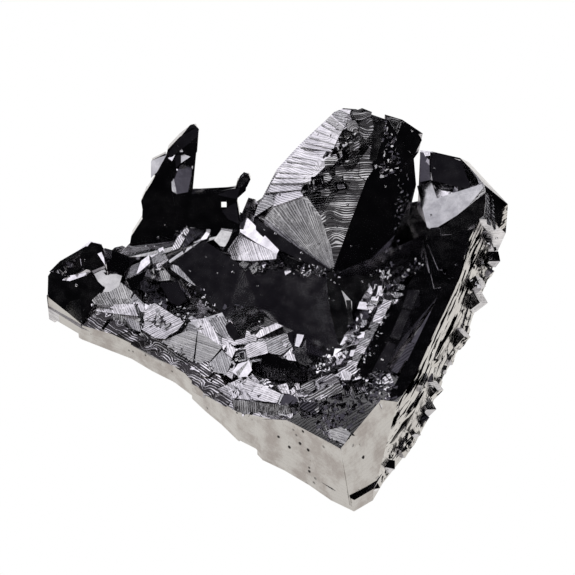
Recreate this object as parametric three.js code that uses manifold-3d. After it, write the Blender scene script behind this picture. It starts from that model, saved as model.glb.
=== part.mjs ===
// Galena, one grown-together piece of skeletal cubic crystals on a thick plate.
// Millimetres, +Z up, resting on its flat underside. While the shape is being put
// together x runs to the right, y to the back and z up from the underside; at the
// end the piece is moved so that the origin is the middle of its footprint.
import * as THREE from 'three';
import { ConvexGeometry } from 'three/addons/geometries/ConvexGeometry.js';
import { mergeVertices } from 'three/addons/utils/BufferGeometryUtils.js';
import Module from 'manifold-3d';

const wasm = await Module();
wasm.setup();

// Driving dimensions
const SLAB_TOP = 3.2;          // thickness of the plate under the trench
const ROOT = 1;                // height the crystals reach down to inside the plate
const FIN_LEAN = 0.593;        // how far the upright fin runs back for each mm it rises
const FIN_THICK = 2.6;         // thickness of the fin
const WALL_LEDGES = 9;         // growth ledges stacked up the right-hand wall
const STAIR_ROWS = 3;          // rows of small blocks stepping down into the trench
const FIN_HOLE = 1.1;          // width of the small hole through the fin
const STEP_TURN = [0.35, -0.45, 0.1];  // how the small cubes of the growth steps are turned

// ---------- helpers ----------

let seed = 7;
function random(low, high) {
  seed = (seed * 1103515245 + 12345) % 2147483648;
  return low + (high - low) * (seed / 2147483648);
}

function solid(geometry) {
  const bare = geometry.index ? geometry.toNonIndexed() : geometry.clone();
  bare.deleteAttribute('normal');
  bare.deleteAttribute('uv');
  const merged = mergeVertices(bare, 1e-4);
  return new wasm.Manifold(new wasm.Mesh({
    numProp: 3,
    vertProperties: new Float32Array(merged.attributes.position.array),
    triVerts: new Uint32Array(merged.index.array),
  }));
}

// The faceted solid around a set of corners.
function crystal(corners) {
  return solid(new ConvexGeometry(corners.map((corner) => new THREE.Vector3(...corner))));
}

// A crystal with the given top corners, standing on the plate.
function column(top, foot = ROOT) {
  return crystal([...top, ...top.map(([x, y]) => [x, y, foot])]);
}

// A flat layer with a plan outline, from one height to another.
function layer(outline, bottom, top) {
  const shape = new THREE.Shape(outline.map(([x, y]) => new THREE.Vector2(x, y)));
  const geometry = new THREE.ExtrudeGeometry(shape, { depth: top - bottom, bevelEnabled: false });
  return solid(geometry.translate(0, 0, bottom));
}

// A small cube-like crystal.
function block([x, y, z], [width, depth, height], [turnX, turnY, turnZ]) {
  const geometry = new THREE.BoxGeometry(width, depth, height);
  const turn = new THREE.Euler(turnX, turnY, turnZ, 'ZYX');
  geometry.applyMatrix4(new THREE.Matrix4().makeRotationFromEuler(turn));
  return solid(geometry.translate(x, y, z));
}

// A larger cube with its corners cut off, galena's usual shape.
function cube([x, y, z], [width, depth, height], [turnX, turnY, turnZ], corner = 0.3) {
  const turn = new THREE.Euler(turnX, turnY, turnZ, 'ZYX');
  const corners = [];
  for (const [a, b, c] of [[1, 1, 1], [1, 1, -1], [1, -1, 1], [1, -1, -1],
    [-1, 1, 1], [-1, 1, -1], [-1, -1, 1], [-1, -1, -1]]) {
    for (const [i, j, k] of [[1 - corner, 1, 1], [1, 1 - corner, 1], [1, 1, 1 - corner]]) {
      corners.push(new THREE.Vector3(a * i * width / 2, b * j * depth / 2, c * k * height / 2));
    }
  }
  const geometry = new ConvexGeometry(corners);
  geometry.applyMatrix4(new THREE.Matrix4().makeRotationFromEuler(turn));
  return solid(geometry.translate(x, y, z));
}

// A plate of the leaning fin, drawn as seen from the front.
function finPlate(outline, thickness = FIN_THICK, forward = 0) {
  const face = outline.map(([x, z]) => [x, 20.6 + FIN_LEAN * (z - 9) - forward, z]);
  return crystal([...face, ...face.map(([x, y, z]) => [x, y + thickness, z - 0.4 * thickness])]);
}

function mix(a, b, t) {
  return a.map((value, i) => value + (b[i] - value) * t);
}

const grown = [];
const cut = [];

// ---------- the plate ----------

const footprint = [
  [14.3, -41.8], [18.0, -38.9], [20.1, -34.3], [24.2, -27.6], [26.6, -24.1], [29.7, -16.9],
  [32.6, -6.3], [34.9, -1.3], [38.4, 5.6], [40.5, 13.3], [42.4, 19.2], [45.5, 28.0],
  [46.0, 33.0], [41.0, 40.0], [33.5, 44.2], [27.0, 44.0], [20.0, 46.5], [9.0, 45.0],
  [1.0, 39.5], [-8.0, 34.5], [-15.0, 32.5], [-25.0, 31.0], [-33.0, 28.0], [-41.0, 24.5],
  [-47.0, 20.5], [-49.2, 16.5], [-48.6, 12.6], [-46.2, 10.6], [-41.3, 6.4], [-34.6, 2.7], [-30.7, 0.6],
  [-26.2, -3.1], [-21.9, -6.1], [-18.1, -10.7], [-15.0, -14.7], [-11.7, -18.4],
  [-8.4, -22.8], [-5.2, -25.6], [-3.4, -28.2], [0.9, -31.0], [5.8, -35.0], [9.9, -38.9],
];
grown.push(layer(footprint, 0, SLAB_TOP));

// Solid rock under the front shelf, the right-hand wall and the back.
grown.push(layer([
  [-39, 8], [-30, 2.5], [-21, -4], [-14, -13], [-8, -21], [0, -28], [11, -37], [17, -26],
  [22, -26], [29, -9], [33, 6], [38, 20], [41, 28], [36, 36], [30, 30], [27, 13],
  [15, -8], [12, -13], [4, -9], [-3, -4], [-11, 4], [-17, 11], [-24, 17], [-36, 15],
], ROOT, 5.6));

// ---------- front shelf, from the far left to the corner ----------

// rim facet, bright facet, ringed rim, fan facet, swirled rim
grown.push(column([
  [-41.1, 6.8, 3.6], [-34.6, 2.7, 5.0], [-30.6, 0.6, 4.4], [-28.5, 2.5, 6.4], [-27.8, 7.7, 8.6],
  [-31.5, 11.9, 9.4], [-36.4, 13.4, 8.8],
]));
grown.push(column([[-27.8, 7.6, 9.0], [-19.5, 0.5, 10.1], [-23.4, -1.6, 7.7], [-28.5, 2.3, 6.8]]));
grown.push(column([
  [-30.7, 0.7, 3.9], [-28.5, 2.8, 6.3], [-23.5, -0.7, 6.8], [-21.9, -6.1, 4.5], [-26.2, -3.1, 3.9],
]));
grown.push(column([
  [-23.4, -1.8, 7.0], [-18.8, 1.2, 9.5], [-11.8, 2.4, 11.3], [-8.9, -4.0, 9.7], [-11.7, -6.0, 8.2],
  [-15.1, -8.4, 6.6], [-19.2, -8.6, 5.6], [-21.8, -6.3, 5.4],
]));
grown.push(column([
  [-21.9, -6.1, 4.5], [-18.1, -10.7, 5.9], [-15.0, -14.7, 5.0], [-11.7, -18.4, 6.0],
  [-10.7, -16.0, 8.4], [-13.2, -10.4, 8.5], [-18.1, -7.7, 7.0],
]));
// concentric growth hummock on the swirled rim
for (let ring = 0; ring < 3; ring += 1) {
  const r = 3.4 - ring * 0.95;
  const around = [0, 1, 2, 3, 4, 5, 6].map((k) => k * (Math.PI * 2 / 7) + ring * 0.2);
  grown.push(column(around.map((a) => [
    -14.6 + r * Math.cos(a), -11.6 + r * Math.sin(a),
    7.4 + ring * 0.5 + r * (0.32 * Math.cos(a) + 0.2 * Math.sin(a)),
  ]), 4));
}
// the front wall: one clean band from the rim down to the foot
const rim = [
  [-41.1, 6.8, 3.6], [-34.6, 2.7, 5.0], [-30.6, 0.6, 3.9], [-26.2, -3.1, 3.9], [-21.9, -6.1, 4.5],
  [-18.1, -10.7, 5.9], [-15.0, -14.7, 5.2], [-11.7, -18.4, 6.0], [-8.4, -22.8, 8.0], [-4.7, -25.6, 8.6],
  [-1.6, -28.2, 11.4], [1.2, -30.6, 13.6], [6.2, -34.5, 14.2], [11.5, -40.0, 15.4],
];
const foot = [
  [-41.5, 6.2], [-34.6, 2.6], [-30.7, 0.4], [-26.2, -3.2], [-21.9, -6.3], [-18.1, -10.8], [-15.0, -14.8],
  [-11.7, -18.5], [-8.6, -23.0], [-5.2, -26.0], [-3.2, -28.7], [0.9, -31.3], [5.8, -35.2], [13.4, -41.7],
];
for (let k = 0; k < rim.length - 1; k += 1) {
  const faces = [rim[k], rim[k + 1], [...foot[k], 1.6], [...foot[k + 1], 1.6]];
  grown.push(crystal([...faces, ...faces.map(([x, y, z]) => [x + 1.4, y + 2.0, Math.max(z - 1.4, 0.8)])]));
}
// fringe along the rim and the bowl-shaped ridge behind it
grown.push(column([
  [-14.6, -15.2, 5.6], [-11.6, -18.6, 6.4], [-8.4, -22.8, 8.0], [-4.7, -25.0, 8.4],
  [1.2, -23.6, 9.6], [-1.0, -21.1, 9.8], [-5.9, -18.0, 9.6], [-10.7, -16.0, 8.6],
]));
grown.push(column([
  [-10.7, -16.0, 8.6], [-6.9, -14.9, 9.4], [-5.6, -13.6, 9.9], [-2.2, -20.8, 10.6], [-5.7, -19.4, 9.6],
]));
grown.push(column([
  [-5.6, -14.4, 10.4], [-1.0, -16.4, 10.2], [3.8, -20.6, 11.0], [1.2, -25.3, 11.2],
  [-0.6, -22.6, 10.4], [-4.7, -19.9, 9.6],
]));
grown.push(column([
  [-8.4, -22.8, 8.0], [-4.7, -25.4, 8.4], [-1.4, -28.2, 11.4], [-1.6, -24.6, 10.2], [-6.0, -21.4, 9.0],
]));
grown.push(column([[-1.4, -28.2, 11.4], [1.2, -30.4, 13.6], [3.9, -25.2, 11.8], [-1.6, -24.6, 10.2]]));
// arched ridges over the second pit, stepping up toward the trench
grown.push(column([
  [-13.2, -10.4, 8.5], [-11.7, -6.3, 9.0], [-8.1, -5.5, 10.2], [-6.2, -8.0, 9.8], [-6.6, -11.0, 9.0],
  [-9.5, -14.5, 8.8],
]));
grown.push(column([
  [-8.6, -7.0, 10.0], [-3.6, -5.2, 11.4], [1.8, -7.2, 12.2], [4.0, -11.0, 11.4], [2.2, -11.6, 10.4],
  [-0.6, -9.6, 10.6], [-3.6, -9.0, 10.4], [-6.2, -10.4, 9.6],
]));
grown.push(column([
  [-11.8, 2.2, 10.4], [-3.5, 1.4, 11.2], [0.6, -2.4, 12.2], [4.0, -6.0, 13.2], [3.6, -8.8, 12.8],
  [-3.4, -6.3, 12.0], [-8.4, -6.3, 10.6], [-11.7, -6.3, 9.2],
]));
grown.push(column([[2.6, -6.6, 14.2], [5.2, -7.0, 12.8], [4.2, -9.4, 12.2], [2.6, -10.5, 13.0]]));
grown.push(column([[2.4, -10.3, 12.8], [4.3, -9.3, 12.6], [6.2, -11.3, 10.0], [4.0, -11.8, 9.4]]));
// terraced ridge running up to the right-hand strips
grown.push(column([
  [3.8, -21.1, 10.6], [1.2, -25.6, 10.6], [7.8, -23.8, 11.2], [14.9, -19.8, 12.0], [15.7, -16.4, 12.2],
  [12.6, -15.0, 11.4], [7.6, -17.8, 10.6],
]));
for (let k = 0; k < 8; k += 1) {
  const [x, y, z] = mix([4.4, -21.6, 11.0], [15.0, -17.0, 12.6], k / 7);
  grown.push(block([x, y, z - 0.9], [2.1, 3.4, 2.6], [0.2, -0.42, 0.3]));
  if (k % 2) {
    grown.push(block([x + 0.6, y - 2.4, z - 0.6], [1.7, 1.9, 2.4], [0.25, -0.35, 0.2]));
  }
}
// the corner plateau, and the sharp crest that closes it over the smooth corner face
grown.push(column([
  [1.2, -30.4, 13.6], [6.2, -34.4, 14.2], [11.5, -39.9, 15.4], [19.3, -27.4, 15.0], [18.0, -20.8, 13.8],
  [15.3, -18.6, 13.0], [7.8, -23.5, 12.2], [3.9, -25.2, 11.8], [-0.4, -27.6, 11.6],
]));
grown.push(column([
  [19.0, -27.2, 15.0], [22.7, -27.7, 15.6], [24.8, -23.4, 15.2], [21.6, -18.1, 14.0], [18.4, -19.5, 13.6],
]));
grown.push(crystal([
  [11.6, -40.1, 15.8], [19.3, -30.1, 18.6], [22.7, -27.7, 15.6], [13.6, -41.6, ROOT], [18.0, -38.4, ROOT],
  [20.2, -34.2, ROOT], [24.4, -27.3, ROOT], [11.5, -39.9, ROOT], [18.2, -28.8, ROOT], [22.0, -26.9, ROOT],
  [11.5, -39.9, 14.0], [18.4, -28.9, 14.0], [22.0, -26.9, 14.0],
]));

// ---------- far-left crystal ----------

// its dark front facet, the peak with its broken hollow, and the right flank
grown.push(column([
  [-48.4, 15.2, 9.2], [-45.4, 13.9, 9.3], [-39.4, 13.8, 11.9], [-36.2, 11.1, 10.4], [-39.4, 9.0, 6.7],
  [-41.3, 7.0, 3.9], [-44.1, 9.5, 5.1], [-46.2, 11.4, 6.1], [-48.5, 12.9, 6.5],
]));
grown.push(column([
  [-47.8, 16.2, 10.2], [-44.1, 17.2, 12.8], [-41.4, 16.6, 15.0], [-39.3, 17.4, 17.6], [-36.8, 15.4, 18.5],
  [-36.1, 14.5, 17.4], [-39.4, 13.9, 12.0], [-45.5, 14.4, 9.2], [-48.2, 15.3, 9.2],
  [-37.0, 19.5, 14.0], [-43.0, 21.0, 8.0],
]));
cut.push(crystal([
  [-45.2, 14.2, 10.4], [-39.6, 13.4, 13.4], [-37.6, 14.2, 17.0], [-39.6, 15.9, 17.4], [-43.8, 16.2, 13.6],
  [-43.4, 15.5, 9.4], [-39.2, 16.0, 12.4], [-38.6, 12.0, 16.0], [-45.0, 12.0, 12.0],
]));
grown.push(column([
  [-36.3, 14.7, 18.0], [-34.1, 17.4, 14.2], [-31.6, 19.2, 11.4], [-32.6, 14.8, 10.8],
  [-35.6, 13.1, 12.3], [-36.3, 14.0, 15.0], [-34.5, 20.5, 11.0],
]));
grown.push(column([
  [-39.0, 13.8, 11.6], [-35.6, 13.4, 12.6], [-34.5, 12.6, 10.4], [-35.7, 12.2, 9.4], [-37.1, 12.4, 10.4],
]));

// ---------- left ridge and first pit ----------

grown.push(column([
  [-33.4, 12.4, 9.0], [-32.7, 15.1, 10.0], [-27.3, 17.2, 13.8], [-26.8, 15.4, 13.8], [-30.4, 13.5, 11.2],
]));
grown.push(column([
  [-27.4, 18.3, 12.6], [-24.2, 18.0, 14.2], [-23.2, 15.9, 13.6], [-25.6, 14.6, 12.3], [-29.0, 15.6, 11.0],
]));
grown.push(column([
  [-32.2, 12.1, 11.0], [-27.0, 16.4, 12.0], [-24.6, 16.8, 12.2], [-25.3, 14.8, 8.6], [-28.8, 12.7, 8.2],
  [-31.6, 11.8, 9.2],
]));
grown.push(column([
  [-24.8, 17.2, 14.0], [-23.2, 17.6, 12.4], [-15.6, 20.3, 15.5], [-15.2, 22.0, 14.5], [-24.0, 20.5, 11.0],
]));
grown.push(column([[-25.1, 16.0, 9.6], [-23.4, 17.3, 11.8], [-17.3, 11.6, 8.6], [-18.6, 11.2, 7.0]]));
grown.push(column([
  [-28.6, 12.6, 8.4], [-25.2, 15.6, 8.4], [-23.5, 9.4, 7.6], [-24.8, 6.6, 7.2], [-27.6, 7.8, 8.6],
]));

// ---------- trench ----------

// the long dark back face, in two crystals that meet at a low ridge
grown.push(column([
  [-23.4, 17.4, 12.1], [-15.7, 20.0, 15.4], [-7.9, 14.8, 13.0], [-3.5, 5.8, 6.7], [-11.2, 6.5, 6.2],
  [-15.8, 9.5, 7.2], [-18.1, 11.9, 8.7],
]));
grown.push(column([
  [-7.9, 14.8, 13.0], [2.0, 12.9, 13.4], [10.2, 10.9, 13.3], [14.7, 6.5, 10.6], [14.7, 1.6, 7.0],
  [12.2, -3.4, 3.4], [5.1, 0.2, 4.4], [0.6, 3.8, 6.0], [-3.5, 5.8, 6.7],
]));
grown.push(column([
  [-7.9, 14.8, 13.0], [-15.6, 20.0, 13.4], [-8.3, 24.0, 12.6], [8.0, 20.0, 13.0], [11.2, 12.0, 13.0],
  [2.0, 12.9, 13.4],
]));

// ---------- bright facets and the dark slope between fin and tall crystal ----------

grown.push(column([[-13.9, 22.7, 13.0], [-12.5, 24.8, 14.0], [-10.1, 22.8, 14.5], [-11.7, 20.0, 13.4]]));
grown.push(column([
  [-11.1, 19.8, 12.8], [-9.7, 22.7, 13.8], [-8.0, 23.4, 14.6], [-0.7, 15.8, 16.2], [-0.7, 14.3, 15.9],
  [-6.1, 15.2, 14.0],
]));
grown.push(column([
  [-8.5, 24.8, 14.8], [-7.8, 26.4, 15.8], [-0.6, 17.6, 15.8], [-0.7, 16.0, 16.2], [-7.9, 23.6, 14.6],
]));
grown.push(column([
  [-7.8, 26.6, 16.0], [-5.6, 28.0, 16.0], [1.6, 23.0, 15.0], [11.0, 14.5, 12.6], [10.6, 11.4, 13.2],
  [2.0, 13.4, 13.6], [-1.0, 17.6, 14.8],
]));
grown.push(crystal([
  [-6.7, 29.2, 19.4], [-5.2, 28.4, 19.6], [-4.6, 28.6, 18.0], [-8.2, 28.6, 15.4], [-5.4, 27.0, 15.0],
  [-6.7, 31.0, 17.6], [-4.4, 31.0, 14.0], [-8.6, 30.6, 12.0],
]));

// ---------- upright fin, spire and horn ----------

// the dark foot it stands on
grown.push(column([
  [-34.2, 19.6, 11.4], [-31.6, 19.4, 11.4], [-31.4, 23.5, 12.0], [-33.0, 25.0, 9.0],
  [-28.0, 28.5, 8.0], [-10.0, 30.0, 8.0],
  [-8.4, 24.4, 14.4], [-15.6, 22.4, 12.8], [-24.0, 20.0, 11.4],
]));
grown.push(finPlate([
  [-32.2, 9.0], [-31.3, 13.7], [-29.8, 15.2], [-28.5, 17.4], [-20.0, 20.5], [-15.8, 13.0], [-24.0, 9.0],
], 3.6));
grown.push(finPlate([
  [-28.5, 17.0], [-29.1, 20.3], [-28.1, 22.1], [-22.5, 20.8], [-21.0, 15.0],
], 3.2, 0.3));
grown.push(finPlate([
  [-24.0, 14.0], [-22.6, 21.3], [-18.2, 21.7], [-14.9, 21.6], [-9.1, 20.6], [-8.6, 17.9], [-8.4, 14.0],
  [-15.8, 12.6],
]));
grown.push(finPlate([[-14.9, 21.5], [-9.2, 22.5], [-8.6, 22.2], [-9.0, 20.2], [-14.0, 19.6]], 1.8));
grown.push(finPlate([[-9.4, 22.4], [-8.9, 23.9], [-7.0, 23.4], [-7.2, 22.0], [-9.1, 20.5]], 1.6));
grown.push(finPlate([[-8.9, 23.7], [-7.7, 25.0], [-6.5, 24.9], [-6.2, 24.2], [-7.0, 22.8]], 1.8, 0.3));
// spire: dark spike in front, smooth facet to its right, cap and pale lobe
grown.push(finPlate([
  [-28.1, 22.1], [-26.4, 24.3], [-23.6, 27.6], [-22.6, 26.0], [-23.4, 23.4], [-22.4, 20.8], [-27.0, 19.0],
], 2.6, 0.5));
grown.push(finPlate([
  [-23.9, 27.4], [-18.4, 29.2], [-17.5, 28.8], [-18.8, 23.4], [-18.4, 21.2], [-22.8, 20.4],
], 2.4));
grown.push(finPlate([
  [-23.9, 28.0], [-23.4, 29.6], [-21.1, 31.7], [-18.6, 33.4], [-17.6, 33.5], [-17.0, 32.4],
  [-17.3, 29.2], [-18.2, 28.0],
], 2.8, 0.2));
grown.push(finPlate([[-26.8, 27.2], [-24.0, 28.4], [-23.2, 26.4], [-26.0, 24.2], [-26.8, 25.2]], 1.4, -0.6));
cut.push(block([-11.8, 27.9, 18.6], [FIN_HOLE, 9, FIN_HOLE], [-0.7, 0, 0]));
// leaning blades at the foot of the fin
for (const [x, z, reach] of [[-22.6, 12.2, 5.2], [-20.6, 12.6, 4.4], [-17.6, 13.6, 3.0]]) {
  grown.push(crystal([
    [x - 0.9, 19.6, z - 1.6], [x + 1.1, 19.2, z - 1.4], [x + 3.0, 21.6, z + reach * 0.62],
    [x + 2.2, 22.4, z + reach * 0.6], [x, 22.6, z - 3], [x + 2, 24, z - 2],
  ]));
}

// ---------- the tall crystal ----------

const tall = crystal([
  // left silhouette up to the crest, then the crest
  [-5.6, 27.6, 16.2], [-2.7, 30.6, 19.8], [-0.7, 33.9, 23.3], [3.9, 37.3, 27.0], [10.2, 40.7, 31.8],
  [13.1, 41.2, 33.8], [15.8, 40.6, 34.0], [22.5, 38.4, 32.8],
  // ridge between the left facets, down to the foot of the striped one
  [4.7, 26.6, 23.3], [8.4, 21.5, 20.8], [10.9, 13.2, 13.4],
  // ridge between the pitted face and the dark one
  [19.9, 31.1, 26.7], [17.8, 27.0, 23.6], [15.7, 22.9, 20.6], [13.0, 18.2, 17.2],
  // right side of the dark face
  [28.1, 35.6, 24.7], [28.6, 32.2, 20.4], [24.0, 23.2, 14.2], [19.1, 17.9, 12.4],
  // back and foot
  [16.0, 45.5, 24.0], [24.5, 44.6, 20.0], [5.0, 42.0, 12.0], [10.0, 45.0, 2.0], [25.0, 45.0, 2.0],
  [-5.2, 33.0, 2.0], [28.2, 37.0, 14.0], [26.0, 33.0, 2.0], [12.0, 14.0, 2.0], [-5.0, 27.4, 2.0],
  [19.0, 18.0, 2.0],
]);
grown.push(tall);
// dark block on its back shoulder
grown.push(crystal([
  [21.9, 40.6, 32.6], [25.6, 40.1, 31.6], [30.0, 39.5, 28.4], [29.2, 38.0, 24.6], [27.6, 38.2, 21.4],
  [24.6, 37.6, 29.0], [23.0, 43.6, 30.0], [28.6, 43.0, 26.4], [27.4, 43.2, 16.0], [21.0, 43.0, 14.0],
  [23.0, 37.0, 24.0],
]));
// small cubes stepping down the ridge beside the pitted face, and round its pits
for (const [x, y, z, size] of [
  [14.2, 38.2, 32.9, 2.0], [13.0, 36.8, 32.0, 2.4], [11.8, 35.2, 30.8, 2.0], [11.6, 33.6, 30.0, 2.2],
  [13.2, 32.2, 28.4, 2.0], [11.2, 31.2, 27.6, 2.4], [9.2, 30.4, 27.0, 2.2], [7.6, 29.2, 25.8, 2.0],
  [6.4, 28.2, 24.9, 2.2], [5.2, 27.0, 23.6, 1.8], [9.8, 28.2, 25.2, 1.7], [9.7, 26.2, 23.5, 1.5],
  [14.4, 28.6, 25.6, 1.7], [11.0, 25.2, 22.6, 1.3], [15.8, 33.6, 29.6, 1.8], [15.4, 36.8, 32.3, 1.6],
  [12.8, 29.6, 26.3, 1.4],
]) {
  grown.push(block([x, y, z - 0.3], [size, size * 0.85, size], STEP_TURN));
}
for (const [x, y, z, size] of [[7.8, 27.2, 24.2, 1.8], [12.4, 27.0, 24.4, 1.8], [13.8, 34.8, 30.8, 1.5]]) {
  cut.push(block([x, y, z], [size, size * 0.9, 4], STEP_TURN));
}
// low ridges across the bright left faces
for (let ridge = 0; ridge < 4; ridge += 1) {
  const t = 0.12 + ridge * 0.24;
  const outer = mix([-2.4, 30.4, 20.2], [10.6, 40.4, 32.6], t);
  const inner = mix([4.4, 26.4, 24.0], [11.6, 35.0, 31.2], t);
  const nextOuter = mix([-2.4, 30.4, 20.2], [10.6, 40.4, 32.6], t + 0.13);
  const nextInner = mix([4.4, 26.4, 24.0], [11.6, 35.0, 31.2], t + 0.13);
  grown.push(crystal([
    outer, inner, nextOuter, nextInner,
    [outer[0] + 1.5, outer[1] + 1, outer[2] - 3], [inner[0] + 1, inner[1] + 1.5, inner[2] - 3],
    [nextOuter[0] + 1.5, nextOuter[1] + 1, nextOuter[2] - 3],
    [nextInner[0] + 1, nextInner[1] + 1.5, nextInner[2] - 3],
  ]));
}
// crumbs of small crystals along its foot
for (let k = 0; k < 9; k += 1) {
  const t = k / 8;
  const [x, y, z] = mix([-7.4, 15.2, 13.0], [10.6, 11.6, 13.4], t);
  const size = random(0.9, 1.8);
  grown.push(block(
    [x + random(-0.4, 0.4), y + random(-0.7, 0.9), z - 0.3], [size * 1.3, size, size * 1.4],
    [random(-0.3, 0.5), random(-0.7, -0.1), random(0, 1.5)],
  ));
}

// ---------- valley, right-hand strips and the staircase ----------

grown.push(column([
  [9.8, 11.4, 12.6], [18.8, 17.2, 11.2], [24.6, 26.0, 9.6], [30.0, 42.0, 7.6], [32.0, 38.0, 8.6],
  [32.2, 27.0, 12.2], [28.8, 14.6, 12.0], [22.8, 14.6, 11.4], [14.7, 6.3, 9.4],
]));
grown.push(column([
  [15.0, -17.0, 13.2], [16.9, -11.2, 13.5], [19.4, -5.2, 13.8], [22.2, 0.4, 14.0], [25.8, 7.0, 14.2],
  [29.0, 13.0, 14.4], [34.0, 7.0, 14.4], [28.4, 1.2, 14.0], [24.9, -7.0, 13.8], [21.6, -12.4, 13.5],
  [18.4, -19.2, 13.2],
]));
grown.push(column([
  [18.4, -18.9, 12.4], [21.8, -11.8, 12.5], [25.0, -6.2, 12.6], [28.6, 2.1, 12.8], [34.3, 7.1, 13.0],
  [33.0, 0.6, 13.4], [30.2, -8.5, 13.6], [26.6, -18.2, 14.0], [23.6, -23.0, 14.4],
]));
for (const [x, y, long, high] of [[24.2, -14.0, 9, 14.3], [28.6, -5.2, 10, 14.2], [26.6, -12.4, 7, 14.9]]) {
  grown.push(block([x, y, high - 1], [1.3, long, 2], [0, 0.12, -0.44]));
}
// low blocky growth where the strips end above the corner
for (let k = 0; k < 7; k += 1) {
  const size = random(1.3, 2.4);
  grown.push(block(
    [random(17.6, 23.6), random(-22.5, -17.0), 13.2], [size, size * 1.2, 2.8],
    [random(-0.2, 0.2), random(-0.4, 0.3), random(0.2, 0.8)],
  ));
}
// staircase: small blocks falling from the strips into the trench
const stairHead = [
  [14.2, -15.4, 13.0], [17.0, -7.6, 13.2], [20.4, -1.0, 13.4], [24.2, 6.8, 13.8], [28.0, 14.0, 13.6],
];
const stairFoot = [
  [8.6, -13.0, 10.2], [11.6, -6.0, 7.2], [14.0, 1.6, 7.0], [17.0, 9.0, 9.0], [22.4, 15.6, 11.0],
];
for (let run = 0; run < 4; run += 1) {
  grown.push(column([stairHead[run], stairHead[run + 1], stairFoot[run + 1], stairFoot[run]]));
}
for (let row = 0; row < STAIR_ROWS; row += 1) {
  for (let k = 0; k < 13; k += 1) {
    const along = (k + random(0.2, 0.8)) / 13 * 3.999;
    const run = Math.floor(along);
    const head = mix(stairHead[run], stairHead[run + 1], along - run);
    const foot = mix(stairFoot[run], stairFoot[run + 1], along - run);
    const [x, y, z] = mix(head, foot, (row + 0.35) / STAIR_ROWS);
    grown.push(block(
      [x, y, z - 0.1], [random(1.2, 2.1), random(1.5, 2.6), random(1.6, 2.8)],
      [random(-0.15, 0.3), random(-0.65, -0.2), random(-0.65, -0.25)],
    ));
  }
}
// broken pits at the foot of the staircase
for (const [x, y, z, size] of [[12.2, -19.2, 13.4, 1.9], [14.8, -20.4, 13.8, 1.5], [10.0, -21.8, 13.0, 1.5],
  [16.8, -22.2, 14.2, 1.4], [8.6, -26.0, 13.2, 1.3], [13.0, -24.0, 14.0, 1.2]]) {
  cut.push(block([x, y, z], [size * 1.3, size, 2.4], [0.1, -0.1, 0.5]));
}

// ---------- second pit with its side hollow ----------

cut.push(crystal([
  [-5.4, -11.0, 12.0], [-2.6, -8.6, 12.0], [2.6, -12.2, 12.6], [5.4, -16.4, 12.6], [0.4, -16.6, 12.0],
  [-4.6, -14.6, 12.0], [-3.8, -12.0, 5.4], [-1.6, -11.0, 5.2], [3.2, -14.8, 5.4], [-1.6, -14.8, 5.6],
]));
cut.push(crystal([
  [4.6, -12.0, 12.6], [9.2, -12.2, 12.6], [10.0, -15.0, 12.6], [5.4, -17.2, 12.6],
  [5.8, -12.8, 6.4], [8.4, -13.4, 6.8], [6.2, -15.6, 6.6],
]));
cut.push(block([-8.6, -9.4, 10.0], [1.7, 1.4, 3.4], [0, 0, 0.5]));
cut.push(block([-4.4, -3.4, 12.4], [3.4, 1.2, 2.4], [0, 0, 0.3]));
// hopper cut into the shelf between the fan facet and the long dark face
cut.push(crystal([
  [-24.4, 9.2, 10.0], [-19.0, 10.6, 12.0], [-13.6, 5.4, 12.0], [-17.2, 2.6, 12.0], [-22.6, 5.0, 12.0],
  [-22.4, 9.0, 4.6], [-18.4, 9.0, 4.4], [-15.4, 6.2, 4.4], [-18.6, 4.8, 4.4],
]));
// the narrow cleft beside the bright facet
cut.push(crystal([
  [-19.9, 1.0, 12.0], [-18.0, 1.0, 12.0], [-22.6, -2.6, 10.0], [-23.6, -2.0, 10.0],
  [-19.4, 0.4, 7.0], [-22.9, -1.9, 6.0],
]));

// ---------- right-hand back crystal with its cup ----------

grown.push(column([
  [31.8, 26.5, 13.0], [28.6, 15.2, 12.4], [33.6, 9.6, 12.8], [36.8, 9.8, 13.0], [39.2, 20.5, 13.6],
  [41.6, 26.0, 14.0], [42.6, 34.0, 14.4], [34.0, 34.0, 13.4],
]));
grown.push(crystal([
  [29.5, 37.0, 16.4], [31.8, 26.5, 13.0], [36.9, 27.1, 15.8], [43.0, 32.2, 20.4],
  [30.0, 44.4, 20.0], [32.2, 43.3, 20.6], [38.3, 40.5, 21.0], [40.6, 36.4, 21.0],
  [31.0, 46.0, 18.0], [40.4, 42.0, 18.6], [45.6, 33.6, 17.6], [48.2, 31.6, 15.6],
  [47.8, 28.0, 10.6], [44.2, 27.0, 15.2],
  [30.4, 45.6, 1.0], [41.0, 40.4, 1.0], [45.8, 33.2, 1.0], [45.2, 28.2, 1.0], [32.0, 27.0, 1.0],
  [29.6, 39.2, 1.0],
]));
cut.push(crystal([
  [30.2, 38.4, 17.0], [33.0, 34.6, 16.2], [38.6, 31.6, 18.0], [42.0, 32.6, 20.4], [40.0, 36.4, 20.8],
  [37.8, 39.9, 20.8], [31.0, 42.8, 20.0], [33.0, 38.8, 13.8], [37.0, 34.4, 14.6], [38.6, 37.6, 14.4],
  [30.2, 38.0, 24.0], [41.0, 30.0, 24.0], [43.0, 32.6, 24.0], [38.2, 41.0, 24.0], [30.8, 43.4, 24.0],
]));
// small growths inside the cup
grown.push(block([35.4, 38.0, 14.4], [2.0, 1.6, 2.4], [0.3, -0.5, 0.7]));
grown.push(block([38.0, 37.4, 14.8], [1.4, 1.4, 2.4], [0.5, 0.4, 0.2]));

// ---------- right-hand wall: stacked growth ledges with blocky crystals ----------

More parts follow.
